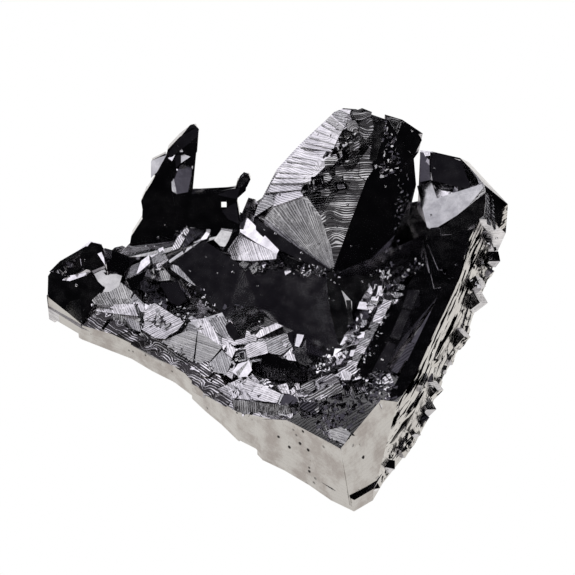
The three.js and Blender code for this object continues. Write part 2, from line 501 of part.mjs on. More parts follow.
const wallFoot = [
  [20.1, -34.3], [24.2, -27.6], [26.6, -24.1], [29.7, -16.9], [32.6, -6.3], [34.9, -1.3],
  [38.4, 5.6], [40.5, 13.3], [42.6, 19.2], [45.5, 28.0],
];
const wallHead = [
  [18.9, -32.6], [22.8, -27.3], [24.9, -23.2], [27.4, -17.0], [31.0, -7.4], [33.0, -2.0],
  [35.4, 5.4], [37.3, 12.6], [39.0, 19.4], [42.2, 27.6],
];
const ledgeLow = 2.4;
const ledgeHigh = 15.4;
for (let ledge = 0; ledge < WALL_LEDGES; ledge += 1) {
  const bottom = ledge === 0 ? ROOT : ledgeLow + (ledgeHigh - ledgeLow) * (ledge / WALL_LEDGES);
  const top = ledgeLow + (ledgeHigh - ledgeLow) * ((ledge + 1) / WALL_LEDGES);
  const at = (k, share, out) => {
    const [x, y] = mix(wallFoot[k], wallHead[k], share);
    return [x + out, y - 0.4 * out];
  };
  let out = 0.1;
  for (let k = ledge > 5 ? 1 : 0; k < wallFoot.length - 1; k += 1) {
    const next = random(-0.1, 0.3);
    const low = ledge / WALL_LEDGES;
    const high = (ledge + 1) / WALL_LEDGES;
    grown.push(crystal([
      [...at(k, low, out), bottom], [...at(k + 1, low, next), bottom],
      [...at(k, high, out - 0.08), top], [...at(k + 1, high, next - 0.08), top],
      [...at(k, low, -2.4), bottom], [...at(k + 1, low, -2.4), bottom],
      [...at(k, high, -2.4), top], [...at(k + 1, high, -2.4), top],
    ]));
    out = next;
  }
}
// the larger blocky crystals low on the wall
for (const [x, y, z, size] of [
  [28.4, -17.4, 3.4, 3.2], [30.6, -12.8, 4.0, 2.6], [26.0, -23.6, 3.0, 2.2], [23.2, -28.2, 2.8, 2.2],
  [21.0, -32.6, 3.0, 2.0], [36.6, 2.4, 4.2, 3.0], [40.6, 13.0, 4.6, 3.2], [40.8, 14.6, 8.0, 2.4],
  [44.8, 24.8, 6.0, 2.6], [18.2, -37.6, 2.2, 1.4],
]) {
  const turn = [random(0.2, 0.7), random(0.2, 0.8), random(0, 1)];
  grown.push(block([x, y, z], [size, size * 0.9, size * 1.1], turn));
}
// and the scatter of smaller ones
for (let k = 0; k < 24; k += 1) {
  const along = random(0, wallFoot.length - 1.01);
  const station = Math.floor(along);
  const up = random(0, 1) ** 2;
  const foot = mix(wallFoot[station], wallFoot[station + 1], along - station);
  const head = mix(wallHead[station], wallHead[station + 1], along - station);
  const [x, y] = mix(foot, head, up * 0.8);
  const size = random(0.8, 1.7);
  grown.push(block(
    [x, y, 1.6 + up * 11], [size, size * random(1, 2), size],
    [random(-0.5, 0.5), random(-0.4, 0.6), random(-0.8, 0)],
  ));
}

// ---------- back: a tumble of blunt cubes of the same growth ----------

for (const [x, y, z, width, depth, height, turn, tilt] of [
  [-41.0, 19.4, 4.0, 9, 7, 8, 0.35, 0.1], [-34.0, 24.6, 3.2, 8, 7, 7, 0.9, -0.15],
  [-24.6, 28.0, 4.6, 9, 6, 9, 0.15, 0.12], [-16.6, 29.6, 6.0, 8, 6, 11, 0.6, -0.1],
  [-8.6, 32.6, 5.0, 9, 7, 10, 0.35, 0.2], [-1.0, 36.4, 6.2, 8, 8, 12, 0.75, -0.12],
  [6.6, 40.8, 6.8, 9, 7, 12, 0.5, 0.15], [15.0, 43.0, 4.8, 9, 6, 9, 0.1, -0.2],
  [22.8, 43.4, 6.4, 8, 5, 12, -0.15, 0.1], [29.8, 42.2, 3.4, 6, 4, 6, 0.3, 0],
  [-28.6, 29.4, 3.0, 5, 4, 5, 0.7, 0.3], [-12.0, 33.4, 2.8, 5, 4, 5, 0.1, -0.3],
  [2.4, 41.4, 3.0, 5, 5, 5, 0.2, 0.3], [10.6, 44.2, 3.0, 5, 3, 5, 0.6, 0.2],
]) {
  const middle = [x, y, Math.max(z, height * 0.42)];
  grown.push(cube(middle, [width, depth, height * 0.8], [tilt, tilt * 0.6, turn]));
}
for (let k = 0; k < 9; k += 1) {
  const t = k / 8;
  const [x, y] = t < 0.55 ? mix([-45, 20], [-3, 36], t / 0.55) : mix([1, 41], [40, 40.5], (t - 0.55) / 0.45);
  const size = random(1.8, 3.2);
  grown.push(block(
    [x, y, random(2.8, 6.4)], [size, size, size * 1.2],
    [random(-0.4, 0.4), random(-0.4, 0.4), random(0, 1.5)],
  ));
}

// ---------- chipped lower edge ----------

for (const [x, y, width, turn, tilt] of [
  [-44.5, 9.4, 7, -0.75, 0.7], [-20.4, -9.4, 6, -0.8, 0.6], [-6.6, -25.4, 5, -0.6, 0.7],
  [4.8, -36.4, 6, -0.7, 0.5], [31.6, -11.4, 6, 1.2, 0.8], [38.2, 3.4, 6, 1.1, 0.7],
  [44.2, 39.2, 9, 2.3, 0.7], [16.0, 47.6, 9, 0.2, -0.8], [-10.0, 35.2, 10, 0.35, -0.8],
  [-39.0, 26.6, 9, 0.45, -0.7],
]) {
  cut.push(block([x, y, -0.4], [width, 2.6, 2.4], [tilt, 0, turn]));
}

// broken hollows in the underside, around the flat it rests on
for (const hollow of [
  [[-40, 17, -1], [-31, 20, -1], [-29, 12, -1], [-37, 9, -1], [-36, 15, 1.1], [-32, 14, 0.8]],
  [[-14, 30, -1], [-4, 33, -1], [-2, 26, -1], [-12, 23, -1], [-9, 29, 1.3], [-6, 26, 1.0]],
  [[18, 40, -1], [31, 39, -1], [28, 31, -1], [20, 33, -1], [24, 37, 1.4], [26, 34, 1.0]],
  [[8, -29, -1], [16, -31, -1], [20, -23, -1], [12, -20, -1], [13, -27, 1.2], [15, -24, 0.9]],
  [[30, 14, -1], [37, 16, -1], [35, 5, -1], [29, 6, -1], [33, 12, 1.0], [32, 8, 0.8]],
]) {
  cut.push(crystal([...hollow, ...hollow.slice(0, 4).map(([x, y]) => [x, y, -0.01])]));
}

// ---------- one solid ----------

const piece = grown.reduce((all, next) => all.add(next));
const standing = piece.trimByPlane([0, 0, 1], 0);
const carved = cut.reduce((all, next) => all.subtract(next), standing).simplify(0.04);
// any pocket left closed inside is filled: the outer skin is the largest shell
const [galena] = carved.decompose().sort((a, b) => b.volume() - a.volume());

const { vertProperties, triVerts } = galena.getMesh();
const geometry = new THREE.BufferGeometry();
geometry.setAttribute('position', new THREE.BufferAttribute(new Float32Array(vertProperties), 3));
geometry.setIndex(new THREE.BufferAttribute(new Uint32Array(triVerts), 1));
geometry.computeBoundingBox();
const box = geometry.boundingBox;
geometry.translate(-(box.min.x + box.max.x) / 2, -(box.min.y + box.max.y) / 2, -box.min.z);

const mesh = new THREE.Mesh(geometry, new THREE.MeshStandardMaterial({
  name: 'galena', color: 0x8e8e9a, roughness: 0.22, metalness: 0.95, flatShading: true,
}));
mesh.name = 'galena';

const part = new THREE.Group();
part.add(mesh);

export default part;
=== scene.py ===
import math
import random

import bmesh
import bpy
import numpy as np
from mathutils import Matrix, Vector
from mathutils.bvhtree import BVHTree


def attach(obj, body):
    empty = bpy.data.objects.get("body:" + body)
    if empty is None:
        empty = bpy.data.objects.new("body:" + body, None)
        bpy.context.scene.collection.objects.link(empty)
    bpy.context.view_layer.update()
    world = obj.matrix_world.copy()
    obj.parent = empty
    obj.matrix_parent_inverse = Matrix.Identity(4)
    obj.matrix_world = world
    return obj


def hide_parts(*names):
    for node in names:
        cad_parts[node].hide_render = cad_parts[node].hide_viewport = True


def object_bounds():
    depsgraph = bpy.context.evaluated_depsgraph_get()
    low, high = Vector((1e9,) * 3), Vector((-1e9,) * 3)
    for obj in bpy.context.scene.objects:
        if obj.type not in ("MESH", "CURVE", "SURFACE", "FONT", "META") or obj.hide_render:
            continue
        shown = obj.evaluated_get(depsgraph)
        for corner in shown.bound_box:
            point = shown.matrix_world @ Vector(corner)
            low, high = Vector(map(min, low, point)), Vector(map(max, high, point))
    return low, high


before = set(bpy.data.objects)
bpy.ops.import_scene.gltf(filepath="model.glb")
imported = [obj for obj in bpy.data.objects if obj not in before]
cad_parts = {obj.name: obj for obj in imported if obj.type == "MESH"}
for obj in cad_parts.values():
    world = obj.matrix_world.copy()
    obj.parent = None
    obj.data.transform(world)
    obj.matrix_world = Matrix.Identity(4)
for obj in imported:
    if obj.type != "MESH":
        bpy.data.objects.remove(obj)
cad_low, cad_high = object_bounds()


# ---------- the camera ----------
# A long lens in front of the piece and above it, with a square view 575 units wide. Places on the
# piece are given further down as this camera sees them: right and down from the view's top left.

MM = 0.001
VIEW = 575
FOCAL = 2250  # in the same units as the view
SENSOR = 36
NEAR, FAR = 0.01, 20
camera_target = Vector((2.0, -2.586, 20.3)) * MM
camera_distance = 0.45
camera_rise = math.radians(42)
sight_up = Vector((0, math.sin(camera_rise), math.cos(camera_rise)))
to_camera = Vector((0, -math.cos(camera_rise), math.sin(camera_rise)))


def place_object(name, data):
    """A new object that stands in the scene."""
    thing = bpy.data.objects.new(name, data)
    bpy.context.scene.collection.objects.link(thing)
    return thing


camera_data = bpy.data.cameras.new("camera")
camera_data.sensor_width = SENSOR
camera_data.lens = FOCAL / VIEW * SENSOR
camera_data.clip_start = NEAR
camera_data.clip_end = FAR
camera = place_object("camera", camera_data)
camera.location = camera_target + camera_distance * to_camera
camera.rotation_euler = (-to_camera).to_track_quat("-Z", "Y").to_euler()
bpy.context.scene.camera = camera


def sight(px, py):
    """The line of sight through a place in the view."""
    across = (px - VIEW / 2) / FOCAL
    down = (py - VIEW / 2) / FOCAL
    return (Vector((1, 0, 0)) * across - sight_up * down - to_camera).normalized()


# ---------- the galena ----------
# Skeletal cubic crystals of lead sulphide grown together on one thick plate. The faces are
# natural mirrors of lead-grey metal, crossed by growth lines that run round them like contours,
# with smooth bright walls where the plate was cleaved.

SAME_PLACE = 2e-6
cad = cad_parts["galena"]
shell = bmesh.new()
shell.from_mesh(cad.data)
bmesh.ops.remove_doubles(shell, verts=shell.verts, dist=SAME_PLACE)
body_mesh = bpy.data.meshes.new("galena_crystals")
shell.to_mesh(body_mesh)
body_tree = BVHTree.FromBMesh(shell)
shell.free()


def toward(azimuth, elevation):
    """The direction that lies this many degrees round the table and above it."""
    turn, rise = math.radians(azimuth), math.radians(elevation)
    return Vector((math.cos(turn) * math.cos(rise), math.sin(turn) * math.cos(rise), math.sin(rise)))


# where the lights stand that the faces mirror
MAIN_BOX = (147, 38)
TOP_BOX = (160, 70)
SIDE_BOX = (197, 32)
SLATE_BOX = (55, 45)
BACK_BOX = (97, 27)
VIOLET_FILL = (233, 57)

# the tone of a face: the light it mirrors, and how far from the light's middle (degrees)
WHITE = (toward(*MAIN_BOX), 13)
PALE = (toward(*TOP_BOX), 5)
GREY = (toward(*SIDE_BOX), 8)
SLATE = (toward(*SLATE_BOX), 8)
DUSK = (toward(*SLATE_BOX), 14.1)
BRIGHT = (toward(*MAIN_BOX), 7)
LIT = (toward(*MAIN_BOX), 18)
HIGH = (toward(140, 50), 4)
VIOLET = (toward(*VIOLET_FILL), 9)
OVERHEAD = (toward(280, 62), 4)
BLACK = (None, 0)
NATURAL = None

# a black face mirrors none of them: how far it keeps from each (degrees), and from the table
DARK_BESIDE = (
    (toward(*BACK_BOX), 14), (WHITE[0], 33), (PALE[0], 17), (GREY[0], 26), (SLATE[0], 21), (VIOLET[0], 22),
    (OVERHEAD[0], 18),
)
OFF_TABLE = 0.25


def unlit(direction):
    """Whether a face that mirrors this direction is black."""
    return all(direction.angle(light) > math.radians(clear) for light, clear in DARK_BESIDE)


UNLIT = [
    toward(azimuth, elevation) for azimuth in range(0, 360, 8) for elevation in range(18, 86, 4)
    if unlit(toward(azimuth, elevation))
]


def away(light, mirrored, degrees):
    """The direction that lies this many degrees from a light, on the side of another direction."""
    side = (mirrored - light * mirrored.dot(light)).normalized()
    return light * math.cos(math.radians(degrees)) + side * math.sin(math.radians(degrees))


def mirrored_by(slope):
    """The direction that the camera sees in a face of this slope."""
    return 2 * slope.dot(to_camera) * slope - to_camera


def leaning(slope, tone):
    """The slope nearest to the surface's own that shows the camera this tone."""
    light, degrees = tone
    mirrored = mirrored_by(slope)
    if light is None:
        if mirrored.z < OFF_TABLE or not unlit(mirrored):
            mirrored = min(UNLIT, key=mirrored.angle)
    elif mirrored.angle(light) > math.radians(degrees):
        mirrored = away(light, mirrored, degrees)
    return (mirrored + to_camera).normalized()


def in_view(spot, look):
    """Whether a face on this spot sees past the body to the light it is turned to."""
    clear_of_skin = 0.4 * MM
    return body_tree.ray_cast(spot + clear_of_skin * look, mirrored_by(look))[0] is None


# growth lines: their kind, what guides them, their pitch (mm) and their depth
PLAIN = ("rim", None, 0.5, 0.05)
RINGS = ("rim", None, 0.44, 0.8)
FINE = ("trend", (0.35, 0.94), 0.42, 0.3)
STREAKS = ("trend", (0.5, 0.86), 0.46, 0.5)
HATCH = ("trend", (0.9, -0.45), 0.46, 0.45)
FAN = ("trend", (0.95, 0.3), 0.44, 0.36)
FRINGE = ("trend", (0.1, 1), 0.46, 0.95)
RAYS = ("rays", (337, 282), 0.44, 0.5)
# lines across a slope, given by its fall in the view, are bent into rings by knolls: each knoll has
# its place in the view, its reach and its rise (mm)
RIM_KNOLLS = [
    (98, 314, 0.9, 1.8), (107, 318, 0.7, 1.3), (120, 325, 0.9, 1.8), (136, 336, 0.8, 1.6),
    (148, 346, 1.1, 2.6), (160, 354, 0.7, 1.2), (174, 362, 0.8, 1.0), (190, 374, 0.9, 1.4),
    (205, 388, 0.9, 1.2), (216, 398, 0.9, 1.4),
]
FACE_KNOLLS = [
    (318, 184, 1.7, 2.8), (341, 187, 1.8, 3.2), (355, 128, 1.6, 2.2), (346, 156, 1.5, -2.0),
    (330, 214, 1.6, 1.2), (362, 146, 1.4, 1.6), (336, 236, 1.5, 1.0), (372, 120, 1.4, 1.4),
]
TERRACE_KNOLLS = [
    (322, 390, 1.2, 1.6), (344, 390, 1.3, 2.0), (362, 388, 1.4, 2.4), (306, 396, 1.1, 1.2),
    (330, 404, 1.2, 1.5),
]
SLOPE_KNOLLS = [
    (336, 138, 1.3, 1.6), (330, 154, 1.2, 1.3), (322, 168, 1.2, -1.4), (308, 182, 1.2, 1.2),
    (284, 176, 2.0, 0.7), (312, 146, 1.8, -0.8), (270, 200, 1.5, 0.6), (345, 116, 1.2, 1.4),
]
LAYERS = ("knolls", ((-0.3, 0.95), SLOPE_KNOLLS), 0.50, 0.34)
CONTOURS = ("knolls", ((0.5, -0.85), RIM_KNOLLS), 0.52, 1.0)
WAVES = ("knolls", ((0.06, 1), FACE_KNOLLS), 0.48, 0.95)
STEPPED = ("knolls", ((0.5, 0.85), TERRACE_KNOLLS), 0.46, 0.85)

# small crystals: tone, growth lines, outline in the view, and how far a face stands proud (mm)
CRYSTALS = [
    # the spire on the left: pale lobe behind, bright bits at its neck, a slate face on its right
    (PALE, PLAIN, [(151, 161), (160, 157), (167, 154), (161, 164), (157, 172), (151, 178)]),
    (WHITE, PLAIN, [(170, 154), (175, 155), (172, 161), (168, 158)]),
    (PALE, PLAIN, [(181, 153), (184, 156), (190, 157), (183, 161), (181, 163)]),
    (PALE, PLAIN, [(179, 149), (182, 149), (183, 152), (180, 152)]),
    (VIOLET, PLAIN, [(175, 156), (180, 155), (181, 163), (176, 168)]),
    (WHITE, PLAIN, [(176, 169), (184, 161), (185.5, 162), (177, 171)]),
    (SLATE, PLAIN, [(185, 161.5), (192, 157), (191.5, 175), (188, 192), (177, 194), (174, 180),
        (177.5, 171)]),
    (PALE, FINE, [(171, 177), (175, 180), (177, 194), (172, 191)]),
    (GREY, PLAIN, [(191, 165), (193, 166), (191, 178), (191, 191), (189, 190)]),
    (VIOLET, PLAIN, [(236, 201), (239, 224), (228, 219), (222, 211)]),
    (VIOLET, PLAIN, [(213, 193.5), (240, 188), (237, 199), (226, 197)]),
    (BLACK, PLAIN, [(167, 155), (178, 140), (190, 125), (194, 124), (199, 129), (198, 136), (186, 140),
        (172, 157)]),
    (BLACK, PLAIN, [(142, 218), (143, 199), (156, 174), (168, 152), (170, 156), (158, 180), (147, 202),
        (146, 218)]),
    (BLACK, PLAIN, [(192, 189), (212, 189.5), (237, 186.5), (237, 190), (212, 194), (192, 194)]),
    (BLACK, PLAIN, [(236, 186), (240, 176), (244, 172), (249, 174), (248, 180), (241, 188)]),
    # crystals under the fin
    (HIGH, STREAKS, [(177, 238), (187, 226), (189, 231), (185, 238), (180, 247), (176, 251), (171, 250)]),
    (SLATE, STREAKS, [(190, 228), (200, 228), (204, 231), (190, 242), (182, 250), (186, 238)]),
    (WHITE, PLAIN, [(168, 261), (185, 249), (200, 239), (201, 241), (186, 252), (170, 263)]),
    (WHITE, PLAIN, [(200, 240), (206, 232), (210, 233), (206, 240)]),
    (OVERHEAD, PLAIN, [(214, 240), (221, 230), (232, 232), (226, 247), (220, 246)], 0.4),
    (BRIGHT, FINE, [(226, 255), (231, 242), (239, 235), (256, 244), (277, 254), (276, 259), (252, 261),
        (234, 260)], 0.3),
    (BLACK, PLAIN, [(233, 233), (237, 231), (232, 240), (226, 253), (223, 250)], 0.4),
    (WHITE, PLAIN, [(240, 212), (244, 214), (259, 236), (279, 250), (277, 254), (257, 243), (240, 232)], 0.3),
    # the left crystal: black front, dark rough top, bright slivers between
    (BLACK, PLAIN, [(49, 272), (60, 261), (86, 246), (88, 250), (70, 261), (53, 272)]),
    (BLACK, PLAIN, [(51, 273), (60, 266), (80, 255), (82, 268), (62, 279), (52, 277)]),
    (SLATE, FINE, [(66, 263), (73, 259), (78, 264), (70, 268)]),
    (DUSK, FINE, [(58, 269), (63, 266), (66, 271), (60, 274)]),
    (DUSK, FINE, [(80, 258), (85, 256), (87, 265), (81, 266)]),
    (BLACK, PLAIN, [(80, 255), (90, 248), (91, 242), (100, 244), (104, 250), (104, 266), (92, 271),
        (82, 268)]),
    (HIGH, PLAIN, [(62, 280), (68, 276), (80, 270), (90, 271), (84, 276), (70, 281)], 0.1),
    (WHITE, PLAIN, [(90, 271), (104, 266), (105, 268), (92, 274)]),
    (WHITE, PLAIN, [(97, 253), (101, 251), (104, 258), (105, 265), (99, 256)]),
    (BLACK, PLAIN, [(48, 276), (51, 271.5), (61, 282), (79, 279), (82, 324), (62, 304), (48, 297)]),
    (BLACK, PLAIN, [(79, 279), (90, 274), (105, 288), (88, 308), (82, 324)]),
    (OVERHEAD, PLAIN, [(94, 274), (104, 269), (122, 276), (117, 292), (104, 292)], 0.4),
    (BLACK, PLAIN, [(105, 248), (112, 250), (128, 256), (134, 261), (122, 273), (107, 271)]),
    (OVERHEAD, FINE, [(108, 291), (120, 282), (133, 292), (130, 299), (112, 299)], 0.5),
    (OVERHEAD, STREAKS, [(92, 300), (104, 289), (112, 298), (130, 297), (134, 304), (112, 306),
        (94, 304)], 0.4),
    (PALE, PLAIN, [(123, 272), (133, 265), (140, 262), (141, 266), (133, 277), (126, 279)]),
    (WHITE, PLAIN, [(141, 261), (149, 255), (150, 263), (140, 270), (136, 275)]),
    (PALE, PLAIN, [(151, 258), (160, 255), (163, 250), (167, 258), (160, 262), (151, 264)]),
    (WHITE, PLAIN, [(158, 249), (163, 247), (165, 254), (160, 254)]),
    (PALE, FINE, [(165, 262), (178, 266), (196, 286), (190, 283), (172, 270)]),
    (BLACK, PLAIN, [(126, 280), (136, 277), (147, 270), (143, 278), (139, 290), (132, 290)]),
    (PALE, FINE, [(150, 270), (163, 267), (170, 275), (170, 280), (160, 281), (150, 278)]),
    (SLATE, RINGS, [(140, 280), (147, 274), (156, 279), (156, 290), (146, 293), (140, 289)]),
    (VIOLET, PLAIN, [(160, 283), (172, 277), (182, 282), (186, 300), (178, 306), (165, 300), (160, 292)]),
    (SLATE, FINE, [(176, 279), (184, 279), (194, 290), (190, 296), (182, 290)]),
    (BLACK, PLAIN, [(139, 310), (148, 316), (142, 328)]),
    (BLACK, PLAIN, [(165, 339), (184, 322), (190, 320), (189, 327), (172, 335)]),
    (WHITE, STREAKS, [(90, 305), (112, 306), (134, 304), (138, 316), (118, 314), (88, 310)], 0.2),
    (PALE, FINE, [(112, 306), (130, 303), (138, 318), (141, 332), (130, 328), (118, 315)], 0.2),
    (GREY, FRINGE, [(96, 306), (112, 308), (124, 318), (132, 328), (118, 322), (100, 314)], 0.2),
    (WHITE, FINE, [(134, 300), (143, 304), (146, 312), (141, 312)]),
    (WHITE, HATCH, [(143, 318), (148, 306), (155, 303), (165, 311), (184, 322), (178, 330), (165, 339),
        (155, 338), (141, 329)]),
    # the fan and the crystals round the bowl
    (GREY, FAN, [(162, 341), (189, 330), (197, 332), (193, 362), (178, 354)]),
    (GREY, FAN, [(198, 331), (208, 337), (222, 347), (206, 366), (195, 361)]),
    (NATURAL, PLAIN, [(179.5, 352), (189, 331), (190.2, 331.5), (181, 353)], 0.15),
    (NATURAL, PLAIN, [(195, 363), (206.5, 339), (207.7, 339.6), (196.5, 364)], 0.15),
    (WHITE, FINE, [(190, 320), (207, 318), (213, 328), (222, 346), (210, 340), (197, 330)]),
    (PALE, STREAKS, [(210, 318), (224, 316), (229, 335), (228, 340), (216, 332)]),
    (WHITE, FINE, [(222, 347), (229, 341), (236, 350), (232, 358), (224, 352)]),
    (PALE, FINE, [(207, 366), (222, 350), (232, 362), (226, 374), (212, 372)]),
    (VIOLET, PLAIN, [(225, 326), (230, 321), (234, 325), (237, 336), (242, 342), (235, 342), (228, 334)]),
    (PALE, PLAIN, [(231, 326), (233, 326), (238, 337), (236, 338)]),
    (BLACK, PLAIN, [(230, 318), (240, 308), (256, 306), (264, 316), (262, 328), (252, 338), (240, 338)]),
    (WHITE, FINE, [(255, 336), (260, 330), (276, 323), (283, 326), (270, 331), (259, 338)], 0.2),
    (BLACK, PLAIN, [(253, 356), (268, 352), (290, 362), (302, 370), (306, 380), (290, 382), (262, 378),
        (253, 368)]),
    (WHITE, HATCH, [(243, 349), (248, 343), (266, 341), (268, 353), (258, 354), (249, 358)], 0.2),
    (PALE, HATCH, [(266, 340), (286, 333), (292, 346), (281, 355), (268, 353)], 0.2),
    (WHITE, FINE, [(281, 355), (292, 346), (296, 361), (288, 360)], 0.2),
    (WHITE, PLAIN, [(297, 334), (304, 335), (302, 341), (299, 347), (295, 346)], 0.3),
    (VIOLET, PLAIN, [(287, 333), (296, 330), (299, 334), (294, 347), (289, 341)], 0.2),
    (VIOLET, PLAIN, [(293, 348), (302, 347), (312, 362), (306, 366), (296, 361)], 0.5),
    (VIOLET, PLAIN, [(288, 362), (294, 362), (306, 380), (297, 382), (290, 376)], 0.2),
    (WHITE, PLAIN, [(301, 371), (306, 377), (309, 382), (305, 381)]),
    (WHITE, FAN, [(243, 388), (248, 378), (260, 384), (281, 394), (277, 403), (254, 400)], 0.25),
    (WHITE, PLAIN, [(232, 372), (238, 364), (249, 360), (252, 370), (244, 380)], 0.1),
    (SLATE, PLAIN, [(284, 395), (290, 394), (300, 400), (294, 404), (280, 405)]),
    (PALE, PLAIN, [(276, 403), (280, 394), (284, 394), (279, 404)]),
    (WHITE, FINE, [(226, 386), (242, 383), (244, 392), (250, 400), (232, 398)]),
    (WHITE, FINE, [(236, 372), (247, 362), (252, 362), (250, 378), (240, 382)]),
    (WHITE, STREAKS, [(276, 386), (287, 383), (290, 394), (282, 393)]),
    (VIOLET, STREAKS, [(288, 383), (293, 381), (297, 397), (290, 394)]),
    (WHITE, STREAKS, [(294, 381), (299, 380), (301, 397), (298, 397)]),
    (GREY, FRINGE, [(232, 400), (262, 402), (262, 416), (244, 414), (234, 410)]),
    (GREY, FRINGE, [(262, 403), (290, 406), (292, 418), (262, 416)]),
    (GREY, FAN, [(328, 430), (341, 427), (351, 433), (344, 445), (334, 441)]),
    (GREY, STEPPED, [(301, 385), (312, 380), (316, 388), (302, 399)]),
    (WHITE, STEPPED, [(312, 380), (334, 374), (340, 382), (318, 390)]),
    (GREY, STEPPED, [(304, 399), (318, 390), (340, 383), (342, 392), (324, 399), (308, 402)]),
    (WHITE, STEPPED, [(338, 370), (352, 364), (358, 370), (352, 379), (341, 381)]),
    (SLATE, STEPPED, [(300, 402), (316, 402), (330, 410), (318, 416), (300, 408)]),
    (WHITE, FINE, [(335, 376), (345, 370), (352, 374), (350, 380), (337, 380)]),
    # the great sloping face of the tall crystal, its lines running down to the tip
    (GREY, RAYS, [(257, 216), (265, 200), (300, 197.5), (313, 206), (323, 224), (331, 247), (334, 266),
        (330, 269), (300, 250), (272, 232)]),
    (VIOLET, PLAIN, [(255, 218), (272, 233), (300, 251), (331, 270), (326, 271), (300, 260), (272, 246),
        (256, 230)]),
    (LIT, LAYERS, [(258, 212), (264, 199), (284, 191), (301, 189), (303, 196), (280, 199), (266, 203)], 0.4),
    (LIT, LAYERS, [(254, 217), (258, 205), (266, 196), (276, 192), (276, 203), (264, 206)], 0.6),
    (OVERHEAD, WAVES, [(352, 112), (362, 108), (372, 112), (370, 120), (356, 120)], 0.2),
    (OVERHEAD, WAVES, [(360, 122), (372, 118), (374, 130), (366, 140), (359, 134)], 0.2),
    # lined crystals among the pits of the upper face
    (OVERHEAD, WAVES, [(347, 122), (355, 120), (359, 127), (354, 132), (347, 130)], 0.3),
    (OVERHEAD, WAVES, [(349, 141), (357, 138), (361, 145), (357, 151), (350, 150)], 0.3),
    (OVERHEAD, WAVES, [(335, 168), (342, 165), (346, 171), (342, 176), (336, 176)], 0.3),
    (OVERHEAD, WAVES, [(343, 173), (350, 170), (355, 176), (351, 182), (344, 181)], 0.3),
    (OVERHEAD, WAVES, [(321, 174), (328, 172), (332, 178), (327, 183), (322, 182)], 0.3),
    (OVERHEAD, WAVES, [(321, 189), (328, 187), (331, 193), (327, 197), (321, 196)], 0.3),
    (OVERHEAD, WAVES, [(324, 160), (332, 156), (338, 160), (332, 167), (325, 166)], 0.3),
    # black faces at the top of the long trough and along the tall crystal's right edge
    (BLACK, PLAIN, [(423, 240), (434, 241), (447, 286), (434, 288)], 0.2),
    (BLACK, PLAIN, [(374, 122), (386, 120), (382, 140), (376, 160), (370, 160), (374, 140)], 0.2),
    (OVERHEAD, WAVES, [(360, 158), (371, 161), (373, 170), (366, 180), (359, 176)], 0.3),
    # steps between the bowl and the long black trough
    (GREY, FINE, [(390, 300), (397, 299), (395, 304), (389, 304)]),
    (PALE, FINE, [(394, 292), (401, 293), (400, 299), (393, 297)]),
    (PALE, FINE, [(396, 284), (404, 285), (404, 290), (396, 289)]),
    (SLATE, FINE, [(386, 285), (391, 284), (393, 289), (387, 290)]),
    (GREY, FINE, [(370, 300), (379, 301), (377, 307), (369, 305)]),
    (SLATE, RINGS, [(369, 283), (377, 279), (380, 286), (372, 289)]),
    (PALE, FINE, [(381, 271), (384, 270), (385, 280), (382, 281)]),
    (PALE, PLAIN, [(387, 272), (390, 269), (389, 277), (387, 281)]),
    (SLATE, FINE, [(363, 311), (370, 309), (369, 318), (362, 319)]),
    (PALE, FINE, [(362, 320), (367, 320), (366, 327), (361, 327)]),
    (WHITE, HATCH, [(352, 332), (360, 328), (354, 342), (346, 352), (341, 350)], 0.3),
    (BLACK, PLAIN, [(326, 272), (336, 275), (345, 300), (353, 335), (350, 347), (339, 347), (330, 310)]),
    (BLACK, PLAIN, [(346, 300), (351, 300), (354, 335), (350, 338)]),
    (WHITE, FINE, [(331, 357), (340, 352), (346, 352), (337, 360)]),
    (VIOLET, PLAIN, [(323, 344), (336, 340), (340, 348), (330, 353)]),
    (BLACK, PLAIN, [(382, 327), (401, 296), (408, 290), (397, 325), (393, 333)]),
    (BLACK, PLAIN, [(357, 371), (382, 327), (393, 333), (375, 370), (366, 377)]),
    (VIOLET, PLAIN, [(408, 290), (420, 290), (411, 311), (402, 309)]),
    (VIOLET, PLAIN, [(402, 309), (411, 311), (400, 338), (396, 345), (388, 341), (397, 325)]),
    (VIOLET, PLAIN, [(388, 341), (396, 345), (385, 371), (374, 378), (369, 377)]),
    # the cup of the right crystal
    (PALE, PLAIN, [(417, 186), (431, 181), (437, 198), (437, 226), (430, 229), (427, 227)], 0.3),
    (PALE, PLAIN, [(430, 206), (437, 198), (452, 199), (466, 195), (482, 184), (483, 188), (464, 211),
        (438, 227), (430, 228)], 0.3),
    (VIOLET, PLAIN, [(430, 152), (448, 156), (462, 162), (478, 180), (470, 190), (446, 181),
        (431, 180)], 0.2),
    (BLACK, PLAIN, [(440, 229), (464, 216), (476, 200), (486, 192), (484, 215), (462, 234), (442, 234)], 0.2),
    (BLACK, PLAIN, [(426, 230), (445, 229), (470, 232), (468, 252), (454, 269), (438, 269), (428, 245)], 0.2),
    (PALE, STREAKS, [(486, 192), (489, 195), (491, 226), (487, 224)], 0.2),
    (PALE, STREAKS, [(491.5, 198), (493.5, 200), (496, 230), (493, 228)], 0.2),
    (BLACK, PLAIN, [(397, 136), (418, 133), (422, 140), (414, 156), (407, 149)], 0.2),
    (SLATE, PLAIN, [(420, 152), (429, 153), (430, 180), (420, 182)]),
    (SLATE, PLAIN, [(432, 181), (436, 180), (442, 188), (437, 190)]),
    (SLATE, PLAIN, [(453, 192), (456, 180), (458, 178), (458, 190), (455, 196)]),
    (WHITE, PLAIN, [(441, 196), (448, 192), (455, 194), (452, 197)]),
    (BLACK, PLAIN, [(493, 201), (502, 207), (502, 222), (499, 229), (494, 215)]),
]

random.seed(5)


def band(tone, growth_lines, upper, lower):
    """Crystals side by side along a strip of the surface."""
    for (a, b), (c, d) in zip(zip(upper, upper[1:]), zip(lower, lower[1:])):
        CRYSTALS.append((tone, growth_lines, [a, b, d, c]))


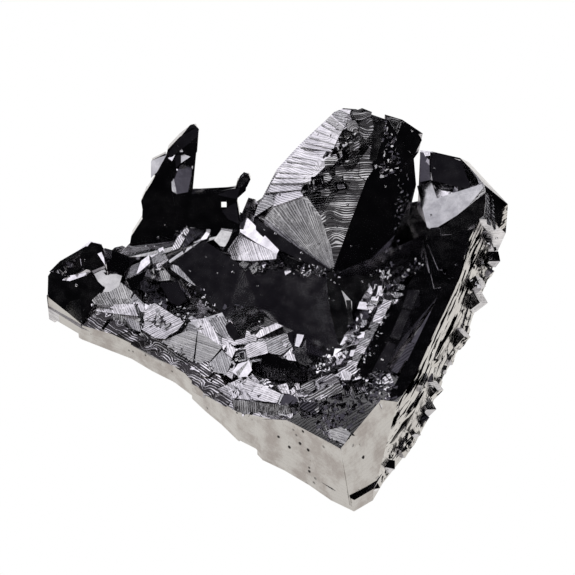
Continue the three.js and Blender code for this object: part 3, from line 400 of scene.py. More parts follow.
def scrap(x, y, wide, tall, corners, turn=0.0):
    """The outline of a small irregular crystal."""
    angles = sorted(random.uniform(0, 2 * math.pi) for _ in range(corners))
    ends = [(wide * math.cos(angle), tall * math.sin(angle)) for angle in angles]
    across, down = math.cos(turn), math.sin(turn)
    return [(x + a * across - b * down, y + a * down + b * across) for a, b in ends]


def crumbs(path, width, count, size, tones):
    """Small crystals strewn along a path."""
    path = np.array(path, float)
    steps = np.linalg.norm(np.diff(path, axis=0), axis=1)
    for _ in range(count):
        leg = random.choices(range(len(steps)), steps)[0]
        x, y = path[leg] + (path[leg + 1] - path[leg]) * random.random()
        x, y = x + random.uniform(-width, width), y + random.uniform(-width, width)
        outline = scrap(x, y, random.uniform(*size), random.uniform(*size), random.choice((3, 4, 4, 5)))
        CRYSTALS.append((random.choice(tones), PLAIN, outline))


def shard(outline, long, wide, corners, turn):
    """The outline of a thin shard that lies somewhere on a crystal's face."""
    x, y = np.average(outline, axis=0, weights=[random.random() ** 2 for _ in outline])
    return scrap(x, y, random.uniform(*long), random.uniform(*wide), corners, random.uniform(*turn))


# the lined crystals of the front carry plates and slivers (half their length and width, corners and
# turn), and their edges are broken into crumbs. Plates and slivers grow in number with the area, from
# one on an outline of the length given.
BROKEN_KINDS = (FAN, HATCH, STREAKS, STEPPED, FRINGE, FINE)
FRONT_BELOW = 262
PLATE = ((2.5, 6.5), (1.5, 3.5), 5, (-0.9, 0.5))
SLIVER = ((2.0, 6.0), (0.5, 1.2), 4, (-1.2, 0.9))
CRUMB_SIZE = (0.6, 1.9)
EDGE_WIDTH = 1.3
PER_CRUMB, PER_PLATE, PER_SLIVER = 6, 30, 17
for tone, growth_lines, outline, *_ in list(CRYSTALS):
    if growth_lines in BROKEN_KINDS and min(y for _, y in outline) > FRONT_BELOW:
        closed = np.array(outline + outline[:1])
        around = np.linalg.norm(np.diff(closed, axis=0), axis=1).sum()
        edge_tones = (WHITE, PALE, BLACK, BLACK, SLATE)
        crumbs(closed, EDGE_WIDTH, round(around / PER_CRUMB), CRUMB_SIZE, edge_tones)
        for _ in range(round((around / PER_PLATE) ** 2)):
            plate = shard(outline, *PLATE)
            CRYSTALS.append((random.choice((tone, BRIGHT, LIT, PALE, GREY)), growth_lines, plate, 0.05))
        for _ in range(round((around / PER_SLIVER) ** 2)):
            sliver = shard(outline, *SLIVER)
            CRYSTALS.append((random.choice((BLACK, BLACK, SLATE, WHITE, PALE)), PLAIN, sliver, 0.03))

# the lined band along the top of the front wall
rim_top = [
    (92, 308), (112, 313), (130, 331), (146, 340), (160, 350), (178, 361), (196, 368), (206, 378),
    (222, 392), (232, 400),
]
rim_foot = [
    (86, 318), (101, 329), (116, 335), (131, 342), (142, 350), (160, 360), (180, 368), (190, 379),
    (207, 396), (226, 407),
]
band(BRIGHT, CONTOURS, rim_top, rim_foot)

# stepped layers across the back slope of the tall crystal, from its outer edge to its ridge: thick
# bright ones with thin darker ones between, duller near the top. Heights and thicknesses are counted
# in places of the two lists.
slope_edge = [(257, 214), (263, 198), (273, 180), (286, 162), (301, 147), (318, 128), (334, 112), (342, 109)]
slope_ridge = [
    (298, 196), (301, 193), (310, 181), (324, 168), (332, 152), (338, 138), (346, 124), (351, 110),
]
THICK, THIN = (0.16, 0.36), (0.04, 0.08)
BRIGHT_BELOW = 5.4
heights = [0]
while heights[-1] < len(slope_edge) - 1:
    thickness = random.uniform(*(THICK if len(heights) % 2 else THIN))
    heights.append(min(heights[-1] + thickness, len(slope_edge) - 1))
slope_edge, slope_ridge = (
    [tuple(np.interp(height, range(len(side)), way) for way in np.array(side).T) for height in heights]
    for side in (slope_edge, slope_ridge)
)
for layer in range(len(heights) - 1):
    if layer % 2:
        layer_tones = (GREY, GREY, NATURAL)
    else:
        layer_tones = (LIT, LIT, LIT, WHITE) if heights[layer] < BRIGHT_BELOW else (LIT, GREY, PALE)
    ends = slice(layer, layer + 2)
    band(random.choice(layer_tones), LAYERS, slope_edge[ends], slope_ridge[ends])

# the staircase of blocks up the right side of the hollow
STAIRS = 9
STAIR_FOOT, STAIR_STEP = (352, 365), (4.2, -7.6)
for stair in range(STAIRS):
    x, y = (start + stair * step for start, step in zip(STAIR_FOOT, STAIR_STEP))
    left, right = random.uniform(4.0, 5.8), random.uniform(3.6, 4.6)
    top = [(x - left + 2.4, y - 5.0), (x + right + 2.0, y - 3.2)]
    foot = [(x + right - 1.0, y + 4.2), (x - left - 0.6, y + 2.4)]
    CRYSTALS.append((random.choice((WHITE, WHITE, PALE)), HATCH, top + foot, 0.35))

# crumbs in the hollow and on the rough faces: their path, how far they stray, how many, size, tones
STREWN = [
    ([(250, 266), (276, 268)], 4, 40, (0.6, 1.8), (PALE, BLACK, NATURAL, SLATE)),
    ([(296, 274), (316, 267), (336, 276)], 6, 90, (0.6, 1.8), (WHITE, PALE, BLACK, BLACK, SLATE)),
    ([(400, 278), (420, 262)], 4, 34, (0.8, 2.2), (SLATE, SLATE, GREY, BLACK)),
    ([(62, 268), (78, 258), (92, 252)], 6, 30, (1.0, 3.0), (SLATE, DUSK, VIOLET, BLACK)),
    ([(376, 295), (390, 280)], 7, 50, (0.8, 2.8), (SLATE, DUSK, GREY, BLACK, BLACK, BLACK)),
    ([(360, 368), (378, 334), (388, 312)], 3, 40, (0.8, 2.4), (BLACK, BLACK, PALE, SLATE)),
    ([(344, 356), (354, 334), (362, 316)], 4, 50, (1.0, 3.2), (PALE, WHITE, SLATE, BLACK, BLACK, BLACK)),
    ([(314, 392), (332, 386), (350, 382)], 5, 24, (1.0, 2.6), (PALE, BLACK, BLACK, SLATE)),
    ([(370, 122), (358, 132), (346, 144), (340, 160)], 6, 70, (0.8, 3.0),
     (PALE, GREY, OVERHEAD, BLACK, BLACK, NATURAL, NATURAL)),
    ([(326, 172), (310, 182), (302, 192)], 4, 24, (0.8, 2.4), (PALE, BLACK, BLACK, NATURAL)),
    ([(308, 372), (330, 360), (322, 376)], 6, 70, (0.8, 2.4), (PALE, WHITE, SLATE, BLACK, BLACK)),
    ([(196, 290), (216, 312)], 5, 50, (0.6, 1.7), (WHITE, PALE, BLACK, BLACK, SLATE)),
    ([(228, 312), (258, 318)], 8, 40, (1.0, 3.4), (BLACK, BLACK, VIOLET, DUSK, SLATE)),
    ([(300, 406), (330, 416), (352, 406), (372, 398)], 10, 190, (0.8, 3.4),
     (BLACK, BLACK, DUSK, SLATE, NATURAL)),
    ([(350, 420), (322, 420), (336, 434)], 9, 100, (0.8, 3.0), (BLACK, DUSK, SLATE, SLATE, NATURAL)),
    ([(352, 378), (368, 388), (384, 384)], 6, 70, (0.8, 2.4), (BLACK, BLACK, PALE, WHITE, SLATE)),
    ([(376, 125), (390, 140), (392, 162), (380, 172)], 8, 80, (1.0, 3.0),
     (DUSK, VIOLET, SLATE, BLACK, BLACK)),
    ([(400, 165), (404, 205), (398, 240), (388, 268)], 7, 90, (0.6, 2.0), (BLACK, BLACK, DUSK, SLATE)),
    ([(380, 372), (395, 392), (372, 396)], 7, 40, (1.2, 3.6), (BLACK, DUSK, SLATE, GREY)),
    ([(140, 292), (168, 306), (190, 316)], 4, 34, (1.0, 3.2), (BLACK, DUSK, SLATE, PALE)),
    ([(170, 238), (200, 232)], 5, 20, (1.0, 2.6), (BLACK, DUSK, SLATE)),
    ([(240, 352), (234, 368)], 4, 22, (1.0, 3.0), (WHITE, PALE, BLACK)),
    ([(274, 388), (262, 380)], 4, 18, (1.0, 2.6), (WHITE, PALE, SLATE)),
    ([(500, 232), (482, 262), (474, 290)], 5, 22, (1.0, 2.6), (BLACK, BLACK, PALE)),
]
for path, width, count, size, tones in STREWN:
    crumbs(path, width, count, size, tones)

# square pits with stepped sides: outline and depth (mm)
PITS = [
    ([(314, 180), (321, 179), (322, 188), (315, 188)], 1.2),
    ([(336, 184), (343, 183), (346, 188), (338, 189)], 1.2),
    ([(304, 185), (308, 184), (308, 191), (303, 190)], 0.9),
    ([(343, 152), (346, 150), (347, 157), (344, 159)], 1.0),
    ([(352, 139), (358, 134), (360, 137), (355, 141)], 0.9),
    ([(354, 384), (361, 382), (364, 390), (357, 392)], 1.2),
    ([(345, 388), (350, 387), (351, 394), (346, 395)], 0.9),
    ([(368, 382), (372, 381), (373, 388), (369, 389)], 0.9),
    ([(340, 405), (345, 404), (346, 408), (341, 409)], 0.7),
    ([(239, 353), (244, 352), (245, 359), (240, 360)], 0.9),
]
PIT_STEPS = ((1.8, 0.2, NATURAL), (1.4, 0.5, NATURAL), (1.0, 1.0, BLACK))
for outline, depth in PITS:
    middle = np.mean(outline, axis=0)
    for share, part, tone in PIT_STEPS:
        grown = [tuple(middle + share * (np.array(place) - middle)) for place in outline]
        CRYSTALS.append((tone, FINE, grown, -depth * part))

# Seat each small crystal where its outline is seen on the body, and embed its foot. Its face lies
# over most of the places felt under it, and turns to another light where the first is hidden.
BRIGHT_TONES = (WHITE, BRIGHT, LIT, HIGH, PALE, GREY)
NEXT_BEST = (BRIGHT, HIGH, PALE, GREY, OVERHEAD)
FELT = 0.8  # the share of the outline's size that feels for the body
CLEAR_OF_TABLE = 1 * MM
MOST_PLACES = 85  # percent
MOST_RISE = 1.5 * MM
LIFT = 0.12 * MM
FOOT = 0.6 * MM
LONGEST_SIDE = 3 * MM
facet_guides = []
small_crystals = []
pits = []
for tone, growth_lines, outline, *proud in CRYSTALS:
    middle = np.mean(outline, axis=0)
    hits, reaches = [], []
    own_slope = Vector()
    for px, py in [middle, *outline]:
        px, py = middle + FELT * (np.array((px, py)) - middle)
        hit, normal, _, reach = body_tree.ray_cast(camera.location, sight(px, py))
        if hit is not None and hit.z > CLEAR_OF_TABLE:
            hits.append(hit)
            reaches.append(reach)
            own_slope += normal
    if not hits:
        continue
    own_slope.normalize()
    look = leaning(own_slope, tone) if tone else own_slope
    if tone in BRIGHT_TONES and not in_view(hits[0], look):
        for other in NEXT_BEST:
            if in_view(hits[0], leaning(own_slope, other)):
                look = leaning(own_slope, other)
                break
    levels = [hit.dot(look) for hit in hits]
    rise = proud[0] if proud else 0
    if rise < 0:
        level = np.median(levels) + rise * MM
    else:
        level = min(np.percentile(levels, MOST_PLACES), np.median(levels) + MOST_RISE) + LIFT + rise * MM
    hull = bmesh.new()
    face_points = []
    for px, py in outline:
        along = sight(px, py)
        hit, _, _, reach = body_tree.ray_cast(camera.location, along)
        if hit is None or hit.z < CLEAR_OF_TABLE:
            reach = np.median(reaches)
        front = (level - camera.location.dot(look)) / along.dot(look)
        point = camera.location + along * front
        face_points.append(Vector(min(max(at, low), high) for at, low, high in zip(point, cad_low, cad_high)))
        hull.verts.new(face_points[-1])
        if rise < 0:
            end = min(front, reach) - LONGEST_SIDE
        else:
            end = max(front, min(reach, front + LONGEST_SIDE)) + FOOT
        hull.verts.new(camera.location + along * end)
    bmesh.ops.convex_hull(hull, input=hull.verts)
    loose = [vert for vert in hull.verts if not vert.link_faces]
    bmesh.ops.delete(hull, geom=loose, context="VERTS")
    bmesh.ops.recalc_face_normals(hull, faces=hull.faces)
    (pits if rise < 0 else small_crystals).append(hull)
    centre = sum(face_points, Vector()) / len(face_points)
    radius = max((point - centre).length for point in face_points)
    facet_guides.append((centre / MM, look, radius / MM, growth_lines))

# join them to the body a batch at a time, each batch of crystals that lie clear of one another
galena = place_object("galena_crystals", body_mesh)


def spans(hull):
    """The corners of the box round a crystal."""
    places = np.array([vert.co[:] for vert in hull.verts])
    return places.min(0), places.max(0)


def in_batches(hulls):
    """The crystals in groups whose boxes don't touch one another."""
    batches = []
    for hull in hulls:
        low, high = spans(hull)
        for batch in batches:
            if all((low > top).any() or (high < foot).any() for _, foot, top in batch):
                batch.append((hull, low, high))
                break
        else:
            batches.append([(hull, low, high)])
    return batches


for operation, hulls in (("UNION", small_crystals), ("DIFFERENCE", pits)):
    for batch in in_batches(hulls):
        joined = bpy.data.meshes.new("batch")
        whole = bmesh.new()
        for hull, _, _ in batch:
            hull.to_mesh(joined)
            whole.from_mesh(joined)
            hull.free()
        whole.to_mesh(joined)
        whole.free()
        tool = place_object("batch", joined)
        change = galena.modifiers.new("grow", "BOOLEAN")
        change.operation = operation
        change.solver = "MANIFOLD"
        change.object = tool
        grown = bpy.data.meshes.new_from_object(galena.evaluated_get(bpy.context.evaluated_depsgraph_get()))
        galena.modifiers.clear()
        galena.data = grown
        bpy.data.objects.remove(tool)

galena_mesh = galena.data
galena_mesh.name = "galena_crystals"
shell = bmesh.new()
shell.from_mesh(galena_mesh)
bmesh.ops.triangulate(shell, faces=shell.faces, quad_method="FIXED", ngon_method="EAR_CLIP")


def part_pockets(shell):
    """Take out triangles that lie back to back on the same three corners."""
    shell.verts.index_update()
    seen, folded = {}, []
    for face in shell.faces:
        corners = frozenset(vert.index for vert in face.verts)
        if corners in seen:
            folded += [face, seen.pop(corners)]
        else:
            seen[corners] = face
    bmesh.ops.delete(shell, geom=folded, context="FACES")


part_pockets(shell)

# triangles that lie in one plane are one crystal face, with a number of its own
SPECK = 5e-4 * MM**2
SAME_PLANE = math.cos(math.radians(0.6))
REAL_EDGE = math.cos(math.radians(3))
NO_AREA = 1e-15
face_number = shell.faces.layers.int.new("face_number")
shell.faces.index_update()
triangles = list(shell.faces)
normals = [face.normal.copy() for face in triangles]
areas = [face.calc_area() for face in triangles]
number_at = [-1] * len(triangles)
facet_normals, facet_centres, facet_areas = [], [], []
for first in sorted(range(len(triangles)), key=lambda index: -areas[index]):
    if number_at[first] >= 0:
        continue
    number_at[first] = len(facet_normals)
    queue, members = [first], []
    while queue:
        index = queue.pop()
        members.append(index)
        for edge in triangles[index].edges:
            for other in edge.link_faces:
                near = other.index
                if number_at[near] >= 0:
                    continue
                if areas[near] < SPECK or normals[near].dot(normals[first]) > SAME_PLANE:
                    number_at[near] = len(facet_normals)
                    queue.append(near)
    centre = sum((triangles[index].calc_center_median() * areas[index] for index in members), Vector())
    area = sum(areas[index] for index in members)
    facet_normals.append(normals[first][:])
    facet_centres.append((centre / max(area, NO_AREA) / MM)[:])
    facet_areas.append(area / MM**2)
for face, number in zip(triangles, number_at):
    face[face_number] = number
facet_normals = np.array(facet_normals)
facet_centres = np.array(facet_centres)
facet_areas = np.array(facet_areas)
facet_rims = [[] for _ in facet_areas]
for edge in shell.edges:
    one, other = (number_at[face.index] for face in edge.link_faces)
    if one != other and facet_normals[one] @ facet_normals[other] < REAL_EDGE:
        for number in (one, other):
            facet_rims[number].append((edge.verts[0].co[:], edge.verts[1].co[:]))
facet_rims = [np.array(rim).reshape(-1, 2, 3) / MM for rim in facet_rims]

# growth zones: a path through the zone (mm), its reach (mm), the way its faces look, their spread
# (degrees), their growth lines and their finish
CRYSTAL, CLEAVED, LEDGED = 0, 1, 2
ZONES = [
    ([(-19, -6, 8), (-4, -18, 10)], 16, (0, 0, 1), 180, ("trend", (0.9, 0.3), 0.46, 0.5), CRYSTAL),
    ([(5.2, 19.9, 18.2)], 15, (-0.45, -0.6, 0.65), 20, ("rays", RAYS[1], 0.46, 0.6), CRYSTAL),
    ([(4.5, 31.4, 26)], 16, (-0.50, -0.30, 0.80), 24, ("knolls", LAYERS[1], 0.52, 0.45), CRYSTAL),
    ([(13.5, 28, 26)], 15, (-0.0, -0.60, 0.80), 27, ("knolls", WAVES[1], 0.48, 0.95), CRYSTAL),
    ([(24, 29, 22), (17, 18, 16)], 12, (0.50, -0.65, 0.57), 16, PLAIN, CRYSTAL),
    ([(-18, 12, 11), (12, 2, 8)], 13, (-0.13, -0.59, 0.80), 24, ("across", (0.5, 0.6, 0.6), 0.5, 0.06),
     CRYSTAL),
    ([(14, -3, 9), (14, 6, 9)], 9, (-0.6, -0.2, 0.75), 50, ("rim", None, 0.5, 0.08), CRYSTAL),
    ([(-30, 17, 13), (-8, 17, 18), (-20, 24, 26)], 13, (0, -0.86, 0.51), 14, PLAIN, CRYSTAL),
    ([(-42, 8.5, 8)], 8, (-0.3, -0.69, 0.66), 24, PLAIN, CRYSTAL),
    ([(18, -14, 13.4), (29, 8, 14.4), (26, -10, 13)], 9, (0, 0, 1), 60, ("rim", None, 0.5, 0.06), CRYSTAL),
    ([(30, 24, 12), (37, 12, 13)], 10, (0, 0, 1), 20, ("rim", None, 0.5, 0.06), CRYSTAL),
    ([(34, 30, 16.5)], 8, (-0.41, -0.37, 0.83), 14, ("rim", None, 0.6, 0.05), CRYSTAL),
    ([(-1, 14, 15), (-10, 20, 14), (-26, 14, 13)], 8, (-0.36, -0.16, 0.92), 20, ("rim", None, 0.4, 0.15),
     CRYSTAL),
    ([(9, -32, 14.8), (20, -23, 15)], 12, (0, 0, 1), 26, ("knolls", STEPPED[1], 0.46, 0.2), CRYSTAL),
    ([(-38, 3.5, 4.6), (-29, -1, 5), (-20, -10, 6), (-14, -17, 7)], 4.5, (-0.3, -0.3, 0.9), 40,
     ("knolls", CONTOURS[1], 0.46, 1.0), CRYSTAL),
    ([(-41, 4, 3), (-21, -9.5, 3), (-8, -26, 4), (5, -38, 8), (13, -44, 8)], 7, (-0.62, -0.78, 0), 42,
     ("height", None, 0.9, 0.05), CLEAVED),
    ([(15, -43, 8), (23, -31, 8)], 9, (0.72, -0.68, 0.15), 36, ("height", None, 0.9, 0.05), CLEAVED),
    ([(26, -28, 7), (33, -9, 8), (41, 10, 8), (47, 26, 8)], 8, (0.88, -0.45, 0.15), 40,
     ("height", None, 0.5, 0.25), LEDGED),
]


def rim_distance(at, rim):
    """How far each point of a face is from the face's own edges."""
    if len(rim) == 0:
        return np.zeros(len(at))
    no_length = 1e-9
    start = rim[None, :, 0]
    along = rim[None, :, 1] - start
    reach = np.maximum((along**2).sum(2), no_length)
    t = np.clip(((at[:, None] - start) * along).sum(2) / reach, 0, 1)
    gap = at[:, None] - (start + along * t[:, :, None])
    return np.sqrt((gap**2).sum(2)).min(1)


def path_distance(point, path):
    """How far a point is from a line drawn through the places of a path."""
    path = np.array(path, float)
    if len(path) == 1:
        return np.linalg.norm(point - path[0])
    return rim_distance(point[None], np.stack([path[:-1], path[1:]], 1))[0]


# every face takes the growth lines of the crystal it belongs to, or else of its zone; the others get
# faint lines round their rims, and steep or hidden ones level lines
PITCH, PITCH_SPREAD, FAINT = 0.42, 0.12, 0.25
HIDDEN, STEEP = 0.15, 0.35
SAME_SLOPE = math.cos(math.radians(1))
SAME_LEVEL = 0.05
random.seed(11)
pitches = [PITCH + PITCH_SPREAD * random.random() for _ in facet_areas]
facet_finish = np.zeros(len(facet_areas))
line_strength = np.zeros(len(facet_areas))
line_rules = []
guide_middles = np.array([middle[:] for middle, _, _, _ in facet_guides])
guide_looks = np.array([look[:] for _, look, _, _ in facet_guides])
guide_reaches = np.array([radius for _, _, radius, _ in facet_guides])
for number, (normal, centre) in enumerate(zip(facet_normals, facet_centres)):
    hidden = Vector(normal).dot(to_camera) < HIDDEN or abs(normal[2]) < STEEP
    rule, finish = ("height" if hidden else "rim", None, pitches[number], FAINT), CRYSTAL
    for path, reach, look, spread, *rest in ZONES:
        look = np.array(look) / np.linalg.norm(look)
        if normal @ look > math.cos(math.radians(spread)) and path_distance(centre, path) < reach:
            rule, finish = rest
    apart = centre - guide_middles
    own = guide_looks @ normal > SAME_SLOPE
    own &= (np.linalg.norm(apart, axis=1) < guide_reaches) & (abs((apart * guide_looks).sum(1)) < SAME_LEVEL)
    if own.any():
        rule, finish = facet_guides[np.flatnonzero(own)[-1]][3], CRYSTAL
    *rule, line_strength[number] = rule
    line_rules.append(rule)
    facet_finish[number] = finish

# cut the faces whose lines bend into small triangles
GRAIN = 0.75 * MM
CLEAR_LINES = 0.1
WORTH_CUTTING = 2
BASE = 1.5
MOST_ROUNDS = 8
bends = [
    kind in ("rim", "rays", "knolls") and strength > CLEAR_LINES and area > WORTH_CUTTING and centre[2] > BASE
    for (kind, _, _), strength, area, centre in zip(line_rules, line_strength, facet_areas, facet_centres)
]
bmesh.ops.triangulate(shell, faces=shell.faces, quad_method="BEAUTY", ngon_method="BEAUTY")
for _ in range(MOST_ROUNDS):
    long_edges = []
    for edge in shell.edges:
        if edge.calc_length() > GRAIN and any(bends[face[face_number]] for face in edge.link_faces):
            long_edges.append(edge)
    if not long_edges:
        break
    bmesh.ops.subdivide_edges(shell, edges=long_edges, cuts=1)
    bmesh.ops.triangulate(shell, faces=shell.faces)
    part_pockets(shell)
shell.to_mesh(galena_mesh)
shell.free()

points = np.zeros(len(galena_mesh.vertices) * 3)
galena_mesh.vertices.foreach_get("co", points)
points = points.reshape(-1, 3) / MM
corner_point = np.zeros(len(galena_mesh.loops), int)
galena_mesh.loops.foreach_get("vertex_index", corner_point)
number_of = np.zeros(len(galena_mesh.polygons), int)
galena_mesh.attributes["face_number"].data.foreach_get("value", number_of)
corner_facet = np.repeat(number_of, 3)
corner_at = points[corner_point]

seats = {}


def seated(knolls):
    """The knolls' places on the body, in mm, with their reach and rise."""
    for px, py, reach, rise in knolls:
        if (px, py) not in seats:
            seats[px, py] = np.array(body_tree.ray_cast(camera.location, sight(px, py))[0]) / MM
        yield seats[px, py], reach, rise


# the height of every corner in the growth of its face, counted in lines
EDGE_ON = 0.1
RAY_SPREAD = 14
growth = np.zeros(len(corner_at))
order = np.argsort(corner_facet, kind="stable")
starts = np.searchsorted(corner_facet[order], np.arange(len(facet_areas) + 1))
flowing = np.array([rule[0] == "knolls" for rule in line_rules])
for number, (kind, guide, pitch) in enumerate(line_rules):
    mine = order[starts[number]:starts[number + 1]]
    if len(mine) == 0:
        continue
    at = corner_at[mine]
    normal = facet_normals[number]
    if kind == "rim":
        field = rim_distance(at, facet_rims[number])
    elif kind == "across":
        field = at @ np.cross(normal, np.array(guide) / np.linalg.norm(guide))
    elif kind == "trend":
        seen_way = Vector((1, 0, 0)) * guide[0] - sight_up * guide[1]
        slope = Vector(normal)
        on_face = seen_way - to_camera * seen_way.dot(slope) / max(to_camera.dot(slope), EDGE_ON)
        field = at @ np.cross(normal, np.array(on_face.normalized()))
    elif kind == "height":
        field = at[:, 2]
    elif kind == "knolls":
        (across, down), knolls = guide
        field = at @ np.array(Vector((across, 0, 0)) - sight_up * down)
        for knoll, reach, rise in seated(knolls):
            field = field + rise * np.exp(-((at - knoll) ** 2).sum(1) / reach**2)
    else:
        from_tip = at - next(seated([(*guide, 0, 0)]))[0]
        level_way = np.cross(normal, (0, 0, 1))
        field = RAY_SPREAD * np.arctan2(from_tip @ level_way, from_tip @ np.cross(normal, level_way))
    growth[mine] = field / pitch

for name, domain, values in (
    ("growth", "CORNER", growth),
    ("line_strength", "FACE", line_strength[number_of]),
    ("flowing", "FACE", flowing[number_of] * 1.0),
    ("cleaved", "FACE", (facet_finish == CLEAVED)[number_of] * 1.0),
    ("ledged", "FACE", (facet_finish == LEDGED)[number_of] * 1.0),
):
    galena_mesh.attributes.new(name, "FLOAT", domain).data.foreach_set("value", values.astype(np.float32))

galena_mesh.polygons.foreach_set("use_smooth", [False] * len(galena_mesh.polygons))

BRIGHT_LEAD = (0.80, 0.785, 0.81, 1)
DULL_LEAD = (0.50, 0.49, 0.525, 1)
MOTTLED_LEAD = (0.24, 0.235, 0.25, 1)
STREAKED_LEAD = (0.11, 0.107, 0.115, 1)
BANDED_LEAD = (0.13, 0.125, 0.135, 1)
PAINTED_GROOVE_SHADE = (0.012, 0.01, 0.012, 1)
CLEAN_WALL = (0.52, 0.505, 0.49, 1)
STAINED_WALL = (0.37, 0.34, 0.325, 1)
LEDGED_WALL = (0.60, 0.58, 0.56, 1)
PAINTED_PIT_SHADE = (0.02, 0.018, 0.018, 1)
FULL_GLANCE, LITTLE_GLANCE = (1, 1, 1, 1), (0.2, 0.2, 0.2, 1)
GLOSSY, SATIN = 0.09, 0.16

galena_finish = bpy.data.materials.new("galena")
galena_finish.use_nodes = True
nodes = galena_finish.node_tree.nodes
links = galena_finish.node_tree.links
surface = nodes["Principled BSDF"]
surface.inputs["Metallic"].default_value = 1.0
place = nodes.new("ShaderNodeTexCoord").outputs["Object"]


def attribute(name):
    """A value that the mesh carries."""
    node = nodes.new("ShaderNodeAttribute")
    node.attribute_name = name
    return node.outputs["Fac"]


def math_node(operation, first, second=None, third=None):
    """A value worked out from others, each a number or a socket."""
    node = nodes.new("ShaderNodeMath")
    node.operation = operation
    for socket, value in zip(node.inputs, (first, second, third)):
        if value is None:
            continue
        if isinstance(value, (int, float)):
            socket.default_value = value
        else:
            links.new(value, socket)
    return node.outputs[0]


def times(first, second):
    """One value times another."""
    return math_node("MULTIPLY", first, second)


def noise_node(scale, detail, roughness=0.5, vector=None):
    """Soft patches, this many to the metre."""
    node = nodes.new("ShaderNodeTexNoise")
    node.inputs["Scale"].default_value = scale
    node.inputs["Detail"].default_value = detail
    node.inputs["Roughness"].default_value = roughness
    links.new(vector or place, node.inputs["Vector"])
    return node.outputs["Fac"]


def ramp(value, low, high, to_low=0.0, to_high=1.0, smooth=True):
    """A value spread from one range over another."""
    node = nodes.new("ShaderNodeMapRange")
    node.interpolation_type = "SMOOTHSTEP" if smooth else "LINEAR"
    links.new(value, node.inputs["Value"])
    for name, number in (("From Min", low), ("From Max", high), ("To Min", to_low), ("To Max", to_high)):
        node.inputs[name].default_value = number
    return node.outputs["Result"]


def mix_colour(factor, first, second):
    """The first colour where the factor is 0, the second where it is 1."""
    node = nodes.new("ShaderNodeMix")
    node.data_type = "RGBA"
    for name, value in (("Factor", factor), ("A", first), ("B", second)):
        if isinstance(value, tuple):
            node.inputs[name].default_value = value
        else:
            links.new(value, node.inputs[name])
    return node.outputs["Result"]


def spots(scale, low, high):
    """1 in the middle of scattered small spots, 0 between them."""
    node = nodes.new("ShaderNodeTexVoronoi")
    node.inputs["Scale"].default_value = scale
    links.new(place, node.inputs["Vector"])
    return ramp(node.outputs["Distance"], low, high, 1.0, 0.0)


def layers(value, scale):
    """Uneven layers across a face: noise along one axis."""
    node = nodes.new("ShaderNodeTexNoise")
    node.noise_dimensions = "1D"
    node.inputs["Scale"].default_value = scale
    node.inputs["Detail"].default_value = 1
    node.inputs["Roughness"].default_value = 0.6
    links.new(value, node.inputs["W"])
    return node.outputs["Fac"]


# growth lines: grooves that wander a little, wide in some patches, thin or broken in others; the relief sinks
# them and the colour fills them with painted shade
strength = attribute("line_strength")
flow = attribute("flowing")
bend = times(noise_node(230, 1), math_node("MULTIPLY_ADD", flow, 1.1, 0.5))
jitter = times(noise_node(900, 3, 0.6), 0.5)
shifted = math_node("ADD", math_node("ADD", attribute("growth"), bend), jitter)
wave = times(math_node("PINGPONG", shifted, 0.5), 2.0)
share = ramp(noise_node(260, 2), 0.35, 0.65, 0.20, 0.62)
share = math_node("ADD", share, times(ramp(layers(shifted, 0.45), 0.4, 0.6), 0.3))
share = times(share, ramp(strength, 0.3, 1.0, 0.6, 1.15))
groove = math_node("MULTIPLY_ADD", math_node("SUBTRACT", share, wave), 3.5, 0.5)
groove = ramp(groove, 0.0, 1.0, smooth=False)
broken = math_node("MAXIMUM", ramp(noise_node(1500, 2), 0.30, 0.60, 0.25, 1.0), flow)
groove = times(times(groove, broken), strength)
banding = ramp(layers(shifted, 0.14), 0.42, 0.60)

# darker streaks along the lines of the faintly lined faces, and a speck that catches the light here
# and there
streak = times(ramp(layers(shifted, 1.1), 0.62, 0.40), ramp(noise_node(480, 2), 0.35, 0.6, 0.35, 1.0))
streak = times(streak, math_node("SUBTRACT", ramp(strength, 0.12, 0.34, 0.0, 0.55), flow))
sparkle = times(spots(520, 0.05, 0.16), ramp(noise_node(180, 2), 0.5, 0.62))

# dark dashes along the ledged wall, blotches round its foot, and small pits in the cleaved one: the relief
# sinks them all and the colour fills them with painted shade
cleaved = attribute("cleaved")
ledged = attribute("ledged")
WALL_TURN = math.radians(68.8)
BLOTCHED_BELOW, DASHED_ABOVE = 5 * MM, 9 * MM
wall_frame = nodes.new("ShaderNodeMapping")
wall_frame.vector_type = "TEXTURE"
wall_frame.inputs["Rotation"].default_value = (0, 0, WALL_TURN)
wall_frame.inputs["Scale"].default_value = (7, 1.0, 0.9)
links.new(place, wall_frame.inputs["Vector"])
split = nodes.new("ShaderNodeSeparateXYZ")
links.new(place, split.inputs[0])
upper = ramp(split.outputs["Z"], BLOTCHED_BELOW, DASHED_ABOVE)
dash = ramp(noise_node(760, 2, 0.6, wall_frame.outputs["Vector"]), 0.52, 0.55)
blotch = ramp(noise_node(430, 4, 0.7), 0.53, 0.565)
dash = math_node("MAXIMUM", times(dash, upper), times(blotch, math_node("SUBTRACT", 1.0, upper)))
pit = times(spots(430, 0.10, 0.2), ramp(noise_node(95, 2), 0.50, 0.62))
dark = math_node("MAXIMUM", times(dash, ledged), times(pit, cleaved))

# the relief, in parts of its full height
RELIEF = 0.09 * MM
GROOVE_SINKS, GRAIN_STANDS, SPARKLE_STANDS, DARK_SINKS = 0.45, 0.06, 0.9, 0.8
height = math_node("MULTIPLY_ADD", groove, -GROOVE_SINKS, times(noise_node(2400, 3, 0.6), GRAIN_STANDS))
height = math_node("MULTIPLY_ADD", sparkle, SPARKLE_STANDS, height)
height = math_node("MULTIPLY_ADD", dark, -DARK_SINKS, height)
bump = nodes.new("ShaderNodeBump")
bump.inputs["Strength"].default_value = 1.0
bump.inputs["Distance"].default_value = RELIEF
links.new(height, bump.inputs["Height"])
links.new(bump.outputs["Normal"], surface.inputs["Normal"])
